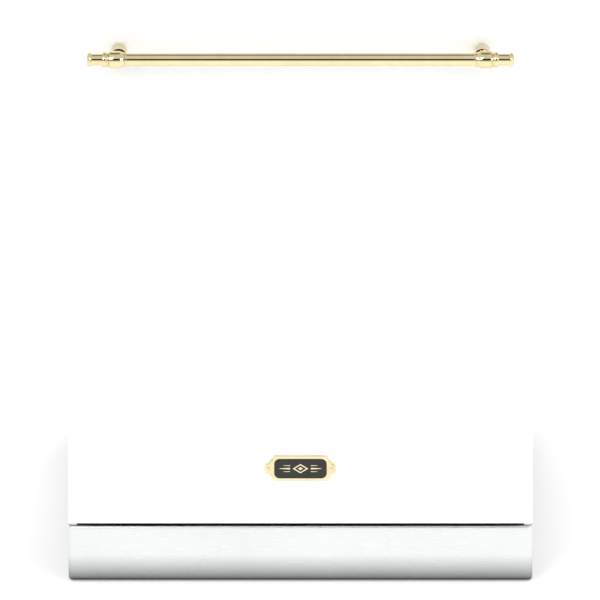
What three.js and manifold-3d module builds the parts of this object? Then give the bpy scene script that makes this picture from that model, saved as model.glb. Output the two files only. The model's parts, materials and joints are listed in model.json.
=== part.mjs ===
// Built-in dishwasher. Millimetres, +Z up, front towards -Y, floor at z = 0, centred on X.
import * as THREE from "three";
import { mergeVertices } from "three/addons/utils/BufferGeometryUtils.js";
import Module from "manifold-3d";

const wasm = await Module();
wasm.setup();

// ---- Driving dimensions ----
const WIDTH = 598;
const HEIGHT = 815;
const DEPTH = 570; // door face to rear panel
const SHEET = 1; // steel sheet
const MOULDED = 2.5; // plastic wall
const FIT = 0.3; // gap between pieces that touch
const RUN = 0.8; // gap beside pieces that slide or turn

// Door
const DOOR_BOTTOM = 83;
const DOOR_TOP = HEIGHT - 15;
const PANEL_DEPTH = 20;
const PANEL_HEM = 25; // inward fold round the panel's back
const INNER_DOOR_BACK = 62; // door face to the liner's sealing border
const LINER_HALF = WIDTH / 2 - 23;
const LINER_ABOVE_HINGE = 6;
const LINER_DISH = 6; // depth of the liner's pressed field
const LINER_BORDER = 36;
const CONTROL_TOP = DOOR_TOP + 6;
const CONTROL_HEIGHT = 35;
const CONTROL_INSET = 1.4; // panel edge to the control panel's ends
const BUTTON = { centre: 149.5, half: 13, depth: 12, proud: 1.6, spacing: 42, flange: 2.5, thick: 2 };
const DISPLAY = { x: -89.7, half: 44, rise: 8, depth: 0.6 };
const LATCH = { half: 16, above: 8, rise: 14, tongue: 9, thick: 5 };

// Door hinge
const HINGE_BEHIND = 34; // door face to hinge axis
const HINGE_Z = DOOR_BOTTOM + 60;
const HINGE_PIN = 5;
const HINGE_EYE = HINGE_BEHIND - PANEL_DEPTH - SHEET; // eye that clears the panel's back
const BRACKET_NOSE = HINGE_PIN + 0.75 * (HINGE_EYE - HINGE_PIN); // a wall round the pin, inside the eye's
const BRACKET_FOOT = 55;
const ARM_THICK = 4;
const ARM_LENGTH = 190;
const ARM_SLOT = { from: 80, to: 150, half: 6 };

// Handle
const HANDLE_Z = DOOR_TOP - 65.6;
const HANDLE_STANDOFF = 37; // door face to bar axis
const BAR_RADIUS = 8.5;
const NECK_RADIUS = BAR_RADIUS - 0.55;
const BARREL_RADIUS = BAR_RADIUS + 2.9;
const COLLAR_RADIUS = BAR_RADIUS + 1.45;
const COVE_RADIUS = BAR_RADIUS + 0.7;
const RING_RADIUS = BAR_RADIUS + 1.7;
const POST_RADIUS = 9.4;
const POST_X = WIDTH / 2 - 66.7;
const BAR_SHOULDER = POST_X + 20; // where the bar steps down to its neck
const NECK_END = POST_X + 34.9;
const STUD_RADIUS = 3;
const CAP = { stem: 4, socket: 9, length: 6 };

// Badge
const BADGE = { z: DOOR_BOTTOM + 76.6, flat: 34.3, rise: 17.2, thick: 1.6 };
const BADGE_EAR = { half: 45.5, rise: 6.1, shoulder: 38.5, step: 10, rivet: 40.9, rivetRadius: 2.6 };
const ORNAMENT = { half: 9, rise: 6, near: 13, far: 28, thick: 1.4, tip: 0.5 };
const ENAMEL = { half: 33.9, rise: 13.5, corner: 7.3, depth: 0.8 };

// Plinth
const PLINTH = { bottom: 3, top: 77, face: 3, lip: 9, foot: 24, roll: 35, sheet: 1.5, corner: 5 };
const ROLL_DEPTH = 17; // how far the roll goes back from the face
const PLINTH_BACK = 12; // where the base starts behind the plinth

// Body and tub
const BODY_TOP = HEIGHT - 2;
const BODY_FRONT = 64;
const FIXING_X = WIDTH / 2 - 83.7;
const SIDE_BOTTOM = 60;
const BASE_BOTTOM = 14;
const BASE_WALL = 3;
const BASE_FRONT = 97; // behind the sweep of the door's lower edge
const SWEEP_BOTTOM = 70; // below the sweep of the door's lower edge
const TUB_HALF = WIDTH / 2 - 33;
const TUB_REAR = DEPTH - 25;
const TUB_TOP = BODY_TOP - 33;
const LEDGE_Z = HINGE_Z + INNER_DOOR_BACK - HINGE_BEHIND; // level with the open door's face
const BASIN_Z = LEDGE_Z - 16;
const LEDGE_WIDTH = 42;
const CENTRE = (BODY_FRONT + TUB_REAR) / 2; // spray arm axis, behind the door face

// Racks
const WIRE = 4;
const STEP = 0.5; // how much thinner a cross wire is on each side
const RACK_FRONT = INNER_DOOR_BACK + 12;
const RACK_REAR = TUB_REAR - 20;
const LOWER = { half: TUB_HALF - 14, floor: LEDGE_Z + 55, height: 121.8, columns: 7, rows: 6 };
const UPPER = {
  half: TUB_HALF - 22,
  floor: TUB_TOP - 243.6,
  height: 140.1,
  columns: 7,
  rows: 6,
};
const WHEEL = { radius: 19, width: 14, axle: 4, lift: 1.3, front: 110, rear: 380 };
const RAIL = { height: 20, depth: 9.7, wall: 2.3, above: 52, short: 15 };

// Water parts
const ARM_REACH = Math.min(TUB_HALF, (TUB_REAR - BODY_FRONT) / 2) - 22;
const POST = { radius: 9, bore: 6, top: LEDGE_Z + 36 };
const FILTER = { behind: CENTRE + 88, radius: 44, flange: 52 };
const SALT = { x: -150, behind: CENTRE + 88, stem: 26, cap: 33 };
const SUMP = { half: 72, front: CENTRE - 60, rear: CENTRE + 145, bottom: 105, wall: 3 };
const FEED_RADIUS = 8;

// Dispenser on the liner, seen from inside the tub
const DISPENSER = { x: 20, half: 80, bottom: DOOR_BOTTOM + 317, height: 160, body: 32, flange: 3, lip: 10 };
const CHAMBER = { x: -14, half: 27, rise: 42, above: 80 };
const LID = { half: 34, rise: 56, thick: 2, overlap: 7, travel: 50, guide: 4, lip: 3 };
const RINSE_CAP = { x: 50, above: 105, radius: 17, stem: 12, deep: 16, thick: 2.6 };

// Feet
const FOOT = { pad: 20, stem: 6, top: SWEEP_BOTTOM - 2, front: 52, rear: DEPTH - 50, inset: 44 };

// ---- Frame ----
const HALF = WIDTH / 2;
const HANDLE_REACH = HANDLE_STANDOFF + BARREL_RADIUS;
const DOOR_FACE_Y = HANDLE_REACH - (DEPTH + HANDLE_REACH) / 2;
const behind = (distance) => DOOR_FACE_Y + distance;
const deep = (from, to) => [behind(from), behind(to)];
const across = (half, centre = 0) => [centre - half, centre + half];
const beside = (side, near, far) => (side > 0 ? [near, far] : [-far, -near]);

// ---- Solids ----
function solid(geometry) {
  const bare = geometry.index ? geometry.toNonIndexed() : geometry;
  bare.deleteAttribute("normal");
  bare.deleteAttribute("uv");
  const merged = mergeVertices(bare, 1e-4);
  return new wasm.Manifold(
    new wasm.Mesh({
      numProp: 3,
      vertProperties: merged.attributes.position.array,
      triVerts: new Uint32Array(merged.index.array),
    }),
  );
}

// A block between exact corners, so that neighbours on one plane share it to the last digit.
function block(xs, ys, zs) {
  const box = new THREE.BoxGeometry(1, 1, 1);
  const corner = box.getAttribute("position");
  for (let i = 0; i < corner.count; i += 1) {
    corner.setXYZ(
      i,
      xs[corner.getX(i) > 0 ? 1 : 0],
      ys[corner.getY(i) > 0 ? 1 : 0],
      zs[corner.getZ(i) > 0 ? 1 : 0],
    );
  }
  return solid(box);
}

// Turns a geometry made along +Y so that it runs along the named axis, then moves its origin to `at`.
function aim(geometry, axis, at) {
  if (axis === "x") geometry.rotateZ(-Math.PI / 2);
  if (axis === "z") geometry.rotateX(Math.PI / 2);
  return geometry.translate(...at);
}

// A round bar along one axis; `at` is the point on its axis that `from` and `to` are measured from.
function rod(axis, radius, at, [from, to], sides = 16) {
  const bar = new THREE.CylinderGeometry(radius, radius, to - from, sides);
  bar.translate(0, (from + to) / 2, 0);
  return solid(aim(bar, axis, at));
}

// A turned piece from [radius, station] pairs that start and end on its axis.
function turned(axis, profile, at, sides = 20) {
  const points = profile.map(([radius, station]) => new THREE.Vector2(radius, station));
  return solid(aim(new THREE.LatheGeometry(points, sides), axis, at));
}

// An outline pushed along an axis: outlines are (y, z) for x, (x, z) for y and (x, y) for z.
function prism(axis, outline, [from, to], curveSegments = 6) {
  const body = new THREE.ExtrudeGeometry(outline, { depth: to - from, bevelEnabled: false, curveSegments });
  if (axis === "x") {
    const turn = new THREE.Matrix4().makeBasis(
      new THREE.Vector3(0, 1, 0),
      new THREE.Vector3(0, 0, 1),
      new THREE.Vector3(1, 0, 0),
    );
    body.applyMatrix4(turn).translate(from, 0, 0);
  }
  if (axis === "y") body.rotateX(Math.PI / 2).translate(0, to, 0);
  if (axis === "z") body.translate(0, 0, from);
  return solid(body);
}

const join = (pieces) => pieces.reduce((sum, piece) => sum.add(piece));
const cut = (piece, tools) => tools.reduce((rest, tool) => rest.subtract(tool), piece);
const polygon = (points) => new THREE.Shape(points.map(([a, b]) => new THREE.Vector2(a, b)));

function roundedRectangle([a0, a1], [b0, b1], radius) {
  const shape = new THREE.Shape();
  shape.absarc(a1 - radius, b0 + radius, radius, -Math.PI / 2, 0);
  shape.absarc(a1 - radius, b1 - radius, radius, 0, Math.PI / 2);
  shape.absarc(a0 + radius, b1 - radius, radius, Math.PI / 2, Math.PI);
  shape.absarc(a0 + radius, b0 + radius, radius, Math.PI, 1.5 * Math.PI);
  shape.closePath();
  return shape;
}

const group = new THREE.Group();
group.name = "built_in_dishwasher";

function place(name, piece, color, roughness, metalness) {
  const { vertProperties, triVerts, numProp } = piece.getMesh();
  const geometry = new THREE.BufferGeometry();
  geometry.setAttribute("position", new THREE.InterleavedBufferAttribute(
    new THREE.InterleavedBuffer(vertProperties, numProp), 3, 0));
  geometry.setIndex(new THREE.BufferAttribute(triVerts, 1));
  const mesh = new THREE.Mesh(
    geometry.toNonIndexed(),
    new THREE.MeshStandardMaterial({ color, roughness, metalness }),
  );
  mesh.geometry.computeVertexNormals();
  mesh.name = name;
  group.add(mesh);
}

const white = [0xf7f7f5, 0.12, 0];
const brass = [0xcdb675, 0.18, 1];
const enamel = [0x111110, 0.15, 0];
const satin = [0xb9bdbe, 0.32, 1];
const steel = [0xc2c4c6, 0.28, 1];
const zinc = [0xa7abad, 0.45, 1];
const black = [0x1b1b1c, 0.4, 0];
const grey = [0x8d9193, 0.5, 0];
const pale = [0xdcdedf, 0.45, 0];
const coated = [0x9aa0a5, 0.4, 0];
const rubber = [0x2a2a2b, 0.85, 0];
const blue = [0x6f93a8, 0.45, 0];

// ---- Door outside ----
function doorPanel() {
  const shell = block(across(HALF), deep(0, PANEL_DEPTH), [DOOR_BOTTOM, DOOR_TOP]);
  const hollow = block(
    across(HALF - SHEET),
    deep(SHEET, PANEL_DEPTH - SHEET),
    [DOOR_BOTTOM + SHEET, DOOR_TOP - SHEET],
  );
  const back = block(
    across(HALF - PANEL_HEM),
    deep(PANEL_DEPTH / 2, PANEL_DEPTH + SHEET),
    [DOOR_BOTTOM + PANEL_HEM, DOOR_TOP - PANEL_HEM],
  );
  const holes = [-1, 1].map((side) =>
    rod("y", STUD_RADIUS + FIT, [side * POST_X, behind(0), HANDLE_Z], [-SHEET, 2 * SHEET]));
  return cut(shell, [hollow, back, ...holes]);
}

// A profile drawn for the right-hand end, turned round for the left.
const facing = (side, profile) =>
  side > 0 ? profile : profile.map(([radius, station]) => [radius, -station]).reverse();

// Barrel, cove and ring on one post, with a stud behind for the door panel's hole.
function handleMount(side) {
  const axis = [side * POST_X, behind(-HANDLE_STANDOFF), HANDLE_Z];
  const bare = [
    [0, -10],
    [COLLAR_RADIUS, -10],
    [COLLAR_RADIUS, -8.3],
    [COVE_RADIUS, -7.6],
    [BARREL_RADIUS - FIT, -2.3],
    [BARREL_RADIUS, 2],
    [BARREL_RADIUS, 8],
    [BARREL_RADIUS - FIT, 12],
    [COVE_RADIUS + FIT, 12.8],
    [COVE_RADIUS, 14.2],
    [COVE_RADIUS + FIT, 15.6],
    [RING_RADIUS, 16.2],
    [RING_RADIUS, 19.8],
    [COLLAR_RADIUS, 20.3],
    [0, 20.3],
  ];
  const profile = facing(side, bare);
  const barrel = turned("x", profile, axis);
  const post = turned("y", [
    [0, -HANDLE_STANDOFF],
    [BARREL_RADIUS, -HANDLE_STANDOFF],
    [BARREL_RADIUS, 8 - HANDLE_STANDOFF],
    [POST_RADIUS, 12 - HANDLE_STANDOFF],
    [POST_RADIUS, -FIT],
    [STUD_RADIUS, -FIT],
    [STUD_RADIUS, PANEL_DEPTH / 2],
    [0, PANEL_DEPTH / 2],
  ], [side * POST_X, behind(0), HANDLE_Z]);
  const bore = rod("x", BAR_RADIUS + FIT, axis, [-2 * BARREL_RADIUS, 2 * BARREL_RADIUS], 20);
  const barRoom = block(
    across(2 * BARREL_RADIUS, side * POST_X),
    deep(-HANDLE_STANDOFF - 2 * BARREL_RADIUS, -HANDLE_STANDOFF),
    across(2 * BARREL_RADIUS, HANDLE_Z),
  );
  return join([barrel, post.subtract(barRoom)]).subtract(bore);
}

function handleBar() {
  const socket = rod(
    "x", CAP.stem + FIT, [0, behind(-HANDLE_STANDOFF), HANDLE_Z], [NECK_END - CAP.socket, NECK_END + 1]);
  const bar = turned("x", [
    [0, -NECK_END],
    [NECK_RADIUS, -NECK_END],
    [NECK_RADIUS, -BAR_SHOULDER - 1],
    [BAR_RADIUS, -BAR_SHOULDER],
    [BAR_RADIUS, BAR_SHOULDER],
    [NECK_RADIUS, BAR_SHOULDER + 1],
    [NECK_RADIUS, NECK_END],
    [0, NECK_END],
  ], [0, behind(-HANDLE_STANDOFF), HANDLE_Z]);
  return cut(bar, [socket, socket.mirror([1, 0, 0])]);
}

function endCap(side) {
  const outer = [
    [0, 2 - CAP.socket],
    [CAP.stem, 2 - CAP.socket],
    [CAP.stem, FIT],
    [NECK_RADIUS + 1.5, FIT],
    [NECK_RADIUS + 1.5, CAP.length * 0.4],
    [NECK_RADIUS + 0.45, CAP.length * 0.73],
    [NECK_RADIUS * 0.65, CAP.length * 0.93],
    [0, CAP.length],
  ];
  const profile = facing(side, outer);
  return turned("x", profile, [side * NECK_END, behind(-HANDLE_STANDOFF), HANDLE_Z]);
}

function badgeOutline() {
  const quarter = [
    [BADGE_EAR.half, 0],
    [BADGE_EAR.half, BADGE_EAR.rise - 2],
    [BADGE_EAR.half - 2, BADGE_EAR.rise],
    [BADGE_EAR.shoulder + 2, BADGE_EAR.step - 2],
    [BADGE_EAR.shoulder, BADGE_EAR.step],
    [BADGE.flat + 1, BADGE.rise - 4],
    [BADGE.flat, BADGE.rise],
  ];
  const top = [...quarter, ...quarter.map(([x, z]) => [-x, z]).reverse()];
  const whole = [...top, ...top.slice(1, -1).map(([x, z]) => [x, -z]).reverse()];
  return polygon(whole.map(([x, z]) => [x, BADGE.z + z]));
}

// The plain ornament on the badge: a lozenge between two tapering bars.
function badgeOrnament(grow, [from, to]) {
  const lozenge = polygon([
    [-ORNAMENT.half - grow, BADGE.z],
    [0, BADGE.z - ORNAMENT.rise - grow],
    [ORNAMENT.half + grow, BADGE.z],
    [0, BADGE.z + ORNAMENT.rise + grow],
  ]);
  const bar = (side) => polygon([
    [side * (ORNAMENT.far + grow), BADGE.z - side * (ORNAMENT.tip + grow)],
    [side * (ORNAMENT.far + grow), BADGE.z + side * (ORNAMENT.tip + grow)],
    [side * (ORNAMENT.near - grow), BADGE.z + side * (ORNAMENT.thick + grow)],
    [side * (ORNAMENT.near - grow), BADGE.z - side * (ORNAMENT.thick + grow)],
  ]);
  return [lozenge, bar(-1), bar(1)].map((outline) => prism("y", outline, [from, to]));
}

function badgePlate() {
  const face = behind(-FIT - BADGE.thick);
  const plate = prism("y", badgeOutline(), [face, behind(-FIT)]);
  const pocket = prism("y", roundedRectangle(
    across(ENAMEL.half), across(ENAMEL.rise, BADGE.z), ENAMEL.corner), [face - 1, face + ENAMEL.depth]);
  const rivets = [-1, 1].map((side) => turned("y", [
    [0, -1],
    [BADGE_EAR.rivetRadius * 0.7, -0.8],
    [BADGE_EAR.rivetRadius, 0.2],
    [BADGE_EAR.rivetRadius, 1],
    [0, 1],
  ], [side * BADGE_EAR.rivet, face, BADGE.z], 12));
  return join([plate.subtract(pocket), ...rivets, ...badgeOrnament(0, [face, face + BADGE.thick])]);
}

function badgeField() {
  const face = behind(-FIT - BADGE.thick);
  const gap = FIT / 2;
  const field = prism("y", roundedRectangle(
    across(ENAMEL.half - gap), across(ENAMEL.rise - gap, BADGE.z), ENAMEL.corner - gap,
  ), [face + gap, face + ENAMEL.depth - gap]);
  return cut(field, badgeOrnament(gap, [face - 1, face + BADGE.thick]));
}

place("door_panel", doorPanel(), ...white);
place("handle_bar", handleBar(), ...brass);
for (const [word, side] of [["left", -1], ["right", 1]]) {
  place(word + "_handle_mount", handleMount(side), ...brass);
  place(word + "_end_cap", endCap(side), ...brass);
}
place("badge_plate", badgePlate(), ...brass);
place("badge_field", badgeField(), ...enamel);

// ---- Door inside ----
const LINER_TOP = CONTROL_TOP - CONTROL_HEIGHT - FIT;
const LINER_BOTTOM = HINGE_Z + LINER_ABOVE_HINGE;

function doorLiner() {
  const field = (grow, back) => block(
    across(LINER_HALF - LINER_BORDER + grow),
    deep(INNER_DOOR_BACK - LINER_DISH - grow, back),
    [LINER_BOTTOM + LINER_BORDER - grow, LINER_TOP - LINER_BORDER + grow],
  );
  const outside = block(
    across(LINER_HALF), deep(PANEL_DEPTH + FIT, INNER_DOOR_BACK), [LINER_BOTTOM, LINER_TOP],
  ).subtract(field(0, INNER_DOOR_BACK + 1));
  const inside = block(
    across(LINER_HALF - SHEET),
    deep(0, INNER_DOOR_BACK - SHEET),
    [LINER_BOTTOM + SHEET, LINER_TOP - SHEET],
  ).subtract(field(SHEET, INNER_DOOR_BACK + 1));
  const opening = block(
    across(DISPENSER.half - DISPENSER.lip, DISPENSER.x),
    deep(PANEL_DEPTH, INNER_DOOR_BACK),
    [DISPENSER.bottom + DISPENSER.lip, DISPENSER.bottom + DISPENSER.height - DISPENSER.lip],
  );
  return cut(outside, [inside, opening]);
}

const BUTTON_BEHIND = (PANEL_DEPTH + INNER_DOOR_BACK) / 2;
const buttonX = (index) => (index - 1.5) * BUTTON.spacing + BUTTON.centre;

function controlPanel() {
  const outside = block(
    across(HALF - CONTROL_INSET),
    deep(PANEL_DEPTH + FIT, INNER_DOOR_BACK),
    [CONTROL_TOP - CONTROL_HEIGHT, CONTROL_TOP],
  );
  const inside = block(
    across(HALF - CONTROL_INSET - MOULDED),
    deep(PANEL_DEPTH + FIT + MOULDED, INNER_DOOR_BACK - MOULDED),
    [CONTROL_TOP - CONTROL_HEIGHT - 1, CONTROL_TOP - MOULDED],
  );
  const wells = [0, 1, 2, 3].map((index) => block(
    across(BUTTON.half + FIT, buttonX(index)),
    across(BUTTON.depth / 2 + FIT, behind(BUTTON_BEHIND)),
    [CONTROL_TOP - 2 * MOULDED, CONTROL_TOP + 1],
  ));
  const latchSlot = block(
    across(LATCH.half),
    deep(INNER_DOOR_BACK - 2 * MOULDED, INNER_DOOR_BACK + 1),
    [TUB_TOP + LATCH.above, TUB_TOP + LATCH.above + LATCH.rise],
  );
  const display = block(
    across(DISPLAY.half, DISPLAY.x),
    across(DISPLAY.rise, behind(BUTTON_BEHIND)),
    [CONTROL_TOP - DISPLAY.depth, CONTROL_TOP + 1],
  );
  return cut(outside, [inside, ...wells, latchSlot, display]);
}

function button(index) {
  const underside = CONTROL_TOP - MOULDED - FIT;
  const cap = block(
    across(BUTTON.half, buttonX(index)),
    across(BUTTON.depth / 2, behind(BUTTON_BEHIND)),
    [underside - 1, CONTROL_TOP + BUTTON.proud],
  );
  const flange = block(
    across(BUTTON.half + BUTTON.flange, buttonX(index)),
    across(BUTTON.depth / 2 + BUTTON.flange, behind(BUTTON_BEHIND)),
    [underside - BUTTON.thick, underside],
  );
  return cap.add(flange);
}

const DISPENSER_FACE = INNER_DOOR_BACK - LINER_DISH + FIT + DISPENSER.flange;
const chamberSpan = across(CHAMBER.half, DISPENSER.x + CHAMBER.x);
const chamberHeight = [DISPENSER.bottom + CHAMBER.above, DISPENSER.bottom + CHAMBER.above + CHAMBER.rise];
const lidX = across(LID.half, DISPENSER.x + CHAMBER.x);
const RINSE_AT = [DISPENSER.x + RINSE_CAP.x, behind(DISPENSER_FACE), DISPENSER.bottom + RINSE_CAP.above];

function dispenser() {
  const top = DISPENSER.bottom + DISPENSER.height;
  const bezel = block(
    across(DISPENSER.half, DISPENSER.x),
    deep(DISPENSER_FACE - DISPENSER.flange, DISPENSER_FACE),
    [DISPENSER.bottom, top],
  );
  const body = block(
    across(DISPENSER.half - DISPENSER.lip - FIT, DISPENSER.x),
    deep(DISPENSER_FACE - DISPENSER.body, DISPENSER_FACE - 1),
    [DISPENSER.bottom + DISPENSER.lip + FIT, top - DISPENSER.lip - FIT],
  );
  const guides = [-1, 1].flatMap((side) => {
    const edge = DISPENSER.x + CHAMBER.x + side * (LID.half + RUN);
    const outer = edge + side * LID.guide;
    const over = edge - side * LID.lip;
    const span = [chamberHeight[0] - LID.travel, chamberHeight[1] + LID.overlap + 1];
    const between = (a, b) => [Math.min(a, b), Math.max(a, b)];
    return [
      block(between(edge, outer), deep(DISPENSER_FACE - 1, DISPENSER_FACE + LID.thick + 2), span),
      block(
        between(over, outer), deep(DISPENSER_FACE + LID.thick + RUN, DISPENSER_FACE + LID.thick + 2), span),
    ];
  });
  const chamber = block(
    chamberSpan, deep(DISPENSER_FACE - DISPENSER.body + 3, DISPENSER_FACE + 1), chamberHeight);
  const rinseWell = rod("y", RINSE_CAP.stem + FIT, RINSE_AT, [-RINSE_CAP.deep, 1]);
  return cut(join([bezel, body, ...guides]), [chamber, rinseWell]);
}

function dispenserLid() {
  const sheet = block(
    lidX,
    deep(DISPENSER_FACE + FIT, DISPENSER_FACE + FIT + LID.thick),
    [chamberHeight[0] - LID.overlap, chamberHeight[0] - LID.overlap + LID.rise],
  );
  const grip = block(
    across(12, DISPENSER.x + CHAMBER.x),
    deep(DISPENSER_FACE + LID.thick, DISPENSER_FACE + LID.thick + 2.5),
    across(3, chamberHeight[0] + LID.rise - 16),
  );
  return sheet.add(grip);
}

function rinseAidCap() {
  const [x, y, z] = RINSE_AT;
  const disc = rod("y", RINSE_CAP.radius, RINSE_AT, [FIT, RINSE_CAP.thick], 24);
  const stem = rod("y", RINSE_CAP.stem, RINSE_AT, [1 - RINSE_CAP.deep, 1]);
  const grip = block(
    across(RINSE_CAP.radius - 3, x), [y + 2, y + RINSE_CAP.thick + 1.8], across(2.2, z));
  return join([disc, stem, grip]);
}

const ARM_NEAR = LINER_HALF + FIT;
const BRACKET_NEAR = ARM_NEAR + ARM_THICK + 1;
const HINGE_AT = [0, behind(HINGE_BEHIND), HINGE_Z];

function hingeArm(side) {
  const span = beside(side, ARM_NEAR, ARM_NEAR + ARM_THICK);
  const strap = block(span, deep(PANEL_DEPTH + 4, INNER_DOOR_BACK - 6), [HINGE_Z, HINGE_Z + ARM_LENGTH]);
  const eye = rod("x", HINGE_EYE, HINGE_AT, span, 20);
  const pin = rod("x", HINGE_PIN, HINGE_AT, beside(side, ARM_NEAR + 1, BRACKET_NEAR + ARM_THICK + 2));
  const slot = block(
    [span[0] - 1, span[1] + 1],
    across(ARM_SLOT.half, behind(HINGE_BEHIND + 2)),
    [HINGE_Z + ARM_SLOT.from, HINGE_Z + ARM_SLOT.to],
  );
  return join([strap, eye, pin]).subtract(slot);
}

function hingeBracket(side) {
  const span = beside(side, BRACKET_NEAR, BRACKET_NEAR + ARM_THICK);
  const nose = rod("x", BRACKET_NOSE, HINGE_AT, span, 20);
  const beam = block(span, deep(HINGE_BEHIND, BASE_FRONT + BRACKET_FOOT), across(BRACKET_NOSE, HINGE_Z));
  const plate = block(
    span, deep(BASE_FRONT, BASE_FRONT + BRACKET_FOOT), [HINGE_Z - 43, HINGE_Z + BRACKET_NOSE]);
  const bore = rod("x", HINGE_PIN + FIT, HINGE_AT, beside(side, ARM_NEAR, BRACKET_NEAR + 2 * ARM_THICK));
  return join([nose, beam, plate]).subtract(bore);
}

place("door_liner", doorLiner(), ...steel);
place("control_panel", controlPanel(), ...black);
["power", "program", "delay", "start"].forEach((word, index) =>
  place("button_" + word, button(index), ...grey));
place("dispenser", dispenser(), ...pale);
place("dispenser_lid", dispenserLid(), ...grey);
place("rinse_aid_cap", rinseAidCap(), ...blue);
for (const [word, side] of [["left", -1], ["right", 1]]) {
  place(word + "_hinge_arm", hingeArm(side), ...zinc);
  place(word + "_hinge_bracket", hingeBracket(side), ...zinc);
}

// ---- Plinth ----
// The lower half rolls under; `inset` shrinks the outline all round for the hollow behind.
function plinthBody(inset) {
  const face = PLINTH.face + inset;
  const bottom = PLINTH.bottom + inset;
  const outline = [[behind(PLINTH.lip + inset), PLINTH.top - inset], [behind(face), PLINTH.top - inset]];
  const steps = 8;
  for (let i = 0; i <= steps; i += 1) {
    const turn = (i / steps) * Math.PI / 2;
    outline.push([
      behind(ROLL_DEPTH + PLINTH.face - (ROLL_DEPTH + PLINTH.face - face) * Math.cos(turn)),
      bottom + PLINTH.roll - PLINTH.roll * Math.sin(turn),
    ]);
  }
  outline.push([behind(PLINTH.foot), bottom], [behind(PLINTH.foot), PLINTH.top - 30]);
  outline.push([behind(PLINTH.lip + inset), PLINTH.top - 20]);
  const half = HALF - inset;
  const round = PLINTH.corner;
  const side = prism("x", polygon(outline), across(half));
  const plan = prism("z", roundedRectangle(
    across(half), deep(face, PLINTH.foot + 2 * round), round), [0, PLINTH.top + 1]);
  const front = prism("y", roundedRectangle(
    across(half), [bottom, PLINTH.top + 2 * round], round), deep(-1, PLINTH.foot + 1));
  return side.intersect(plan).intersect(front);
}

function plinth() {
  const opening = block(
    across(HALF - PLINTH.sheet - PLINTH.corner),
    deep(PLINTH.lip + PLINTH.sheet, PLINTH.foot + 1),
    [PLINTH.bottom + PLINTH.sheet + 4, PLINTH.top - PLINTH.sheet - 5],
  );
  const clips = [-1, 1].map((side) => block(
    across(12, side * (HALF - 119.6)),
    deep(PLINTH.face + 1, PLINTH_BACK - FIT),
    [BASE_BOTTOM, BASE_BOTTOM + BASE_WALL + 20],
  ));
  const shell = cut(plinthBody(0), [plinthBody(PLINTH.sheet), opening]);
  return join([shell, ...clips]).intersect(plinthBody(0));
}

place("plinth", plinth(), ...satin);

// ---- Base ----
const BASE_HALF = BRACKET_NEAR + ARM_THICK + FIT + BASE_WALL;
const footX = BASE_HALF - FOOT.inset;
const footSpots = [[-1, FOOT.front], [1, FOOT.front], [-1, FOOT.rear], [1, FOOT.rear]];
const BASE_REAR = DEPTH - 1.3;
const INLET_X = -BASE_HALF + 110;
const INLET_Z = 78;

function baseTray() {
  const floorTop = BASE_BOTTOM + BASE_WALL;
  const inner = BASE_HALF - BASE_WALL;
  const rimTop = BASIN_Z - SHEET - FIT;
  const walls = [-1, 1].flatMap((side) => [
    block(beside(side, inner, BASE_HALF), deep(BASE_FRONT, BASE_REAR), [BASE_BOTTOM, rimTop]),
    block(beside(side, inner, BASE_HALF), deep(PLINTH_BACK, BASE_FRONT), [BASE_BOTTOM, SWEEP_BOTTOM]),
    block(
      beside(side, TUB_HALF - 5, BASE_HALF),
      deep(BASE_FRONT + BRACKET_FOOT + 7, BASE_REAR - 5),
      [rimTop - BASE_WALL, rimTop],
    ),
  ]);
  const sockets = footSpots.map(([side, from]) =>
    rod("z", FOOT.stem * 2, [side * footX, behind(from), 0], [BASE_BOTTOM, SWEEP_BOTTOM]));
  const bores = footSpots.map(([side, from]) =>
    rod("z", FOOT.stem + FIT, [side * footX, behind(from), 0], [0, SWEEP_BOTTOM + 1]));
  const floor = block(across(BASE_HALF), deep(PLINTH_BACK, BASE_REAR), [BASE_BOTTOM, floorTop]);
  const front = block(
    across(BASE_HALF), deep(BASE_FRONT, BASE_FRONT + BASE_WALL), [BASE_BOTTOM, SWEEP_BOTTOM]);
  const rear = block(across(BASE_HALF), deep(BASE_REAR - BASE_WALL, BASE_REAR), [BASE_BOTTOM, rimTop]);
  const rearHoles = [
    rod("y", 11, [INLET_X, behind(BASE_REAR), INLET_Z], [-10, 10]),
    rod("y", 12, [INLET_X + 60, behind(BASE_REAR), INLET_Z], [-10, 10]),
  ];
  return cut(join([floor, front, rear, ...walls, ...sockets]), [...bores, ...rearHoles]);
}

function foot([side, from]) {
  return turned("z", [
    [0, 0],
    [FOOT.pad, 0],
    [FOOT.pad, 4],
    [FOOT.stem + 5, 7],
    [FOOT.stem + 5, BASE_BOTTOM - FIT],
    [FOOT.stem, BASE_BOTTOM - FIT],
    [FOOT.stem, FOOT.top],
    [0, FOOT.top],
  ], [side * footX, behind(from), 0], 16);
}

function springTube(side) {
  const at = [side * (BASE_HALF - 20), behind(BASE_FRONT + 40), BASE_BOTTOM + BASE_WALL + FIT + 11];
  return rod("y", 11, at, [0, 170]).subtract(rod("y", 9, at, [-1, 171]));
}

place("base_tray", baseTray(), ...black);
["foot_front_left", "foot_front_right", "foot_rear_left", "foot_rear_right"].forEach((name, index) =>
  place(name, foot(footSpots[index]), ...grey));
place("left_spring_tube", springTube(-1), ...zinc);
place("right_spring_tube", springTube(1), ...zinc);

// ---- Cabinet ----
const CABINET_HALF = HALF - 2.3;

function sidePanel(side) {
  const near = CABINET_HALF + FIT;
  const sheet = block(
    beside(side, near, near + SHEET), deep(BODY_FRONT + 2, DEPTH - SHEET), [SIDE_BOTTOM, BODY_TOP]);
  const flange = block(
    beside(side, BASE_HALF + FIT, near + SHEET),
    deep(BASE_FRONT, DEPTH - 5),
    [SIDE_BOTTOM, SIDE_BOTTOM + SHEET],
  );
  const doorSweep = block(
    beside(side, near - 1, near + 3), deep(BODY_FRONT, BASE_FRONT), [SIDE_BOTTOM - 10, HINGE_Z + 7]);
  return sheet.add(flange).subtract(doorSweep);
}

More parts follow.
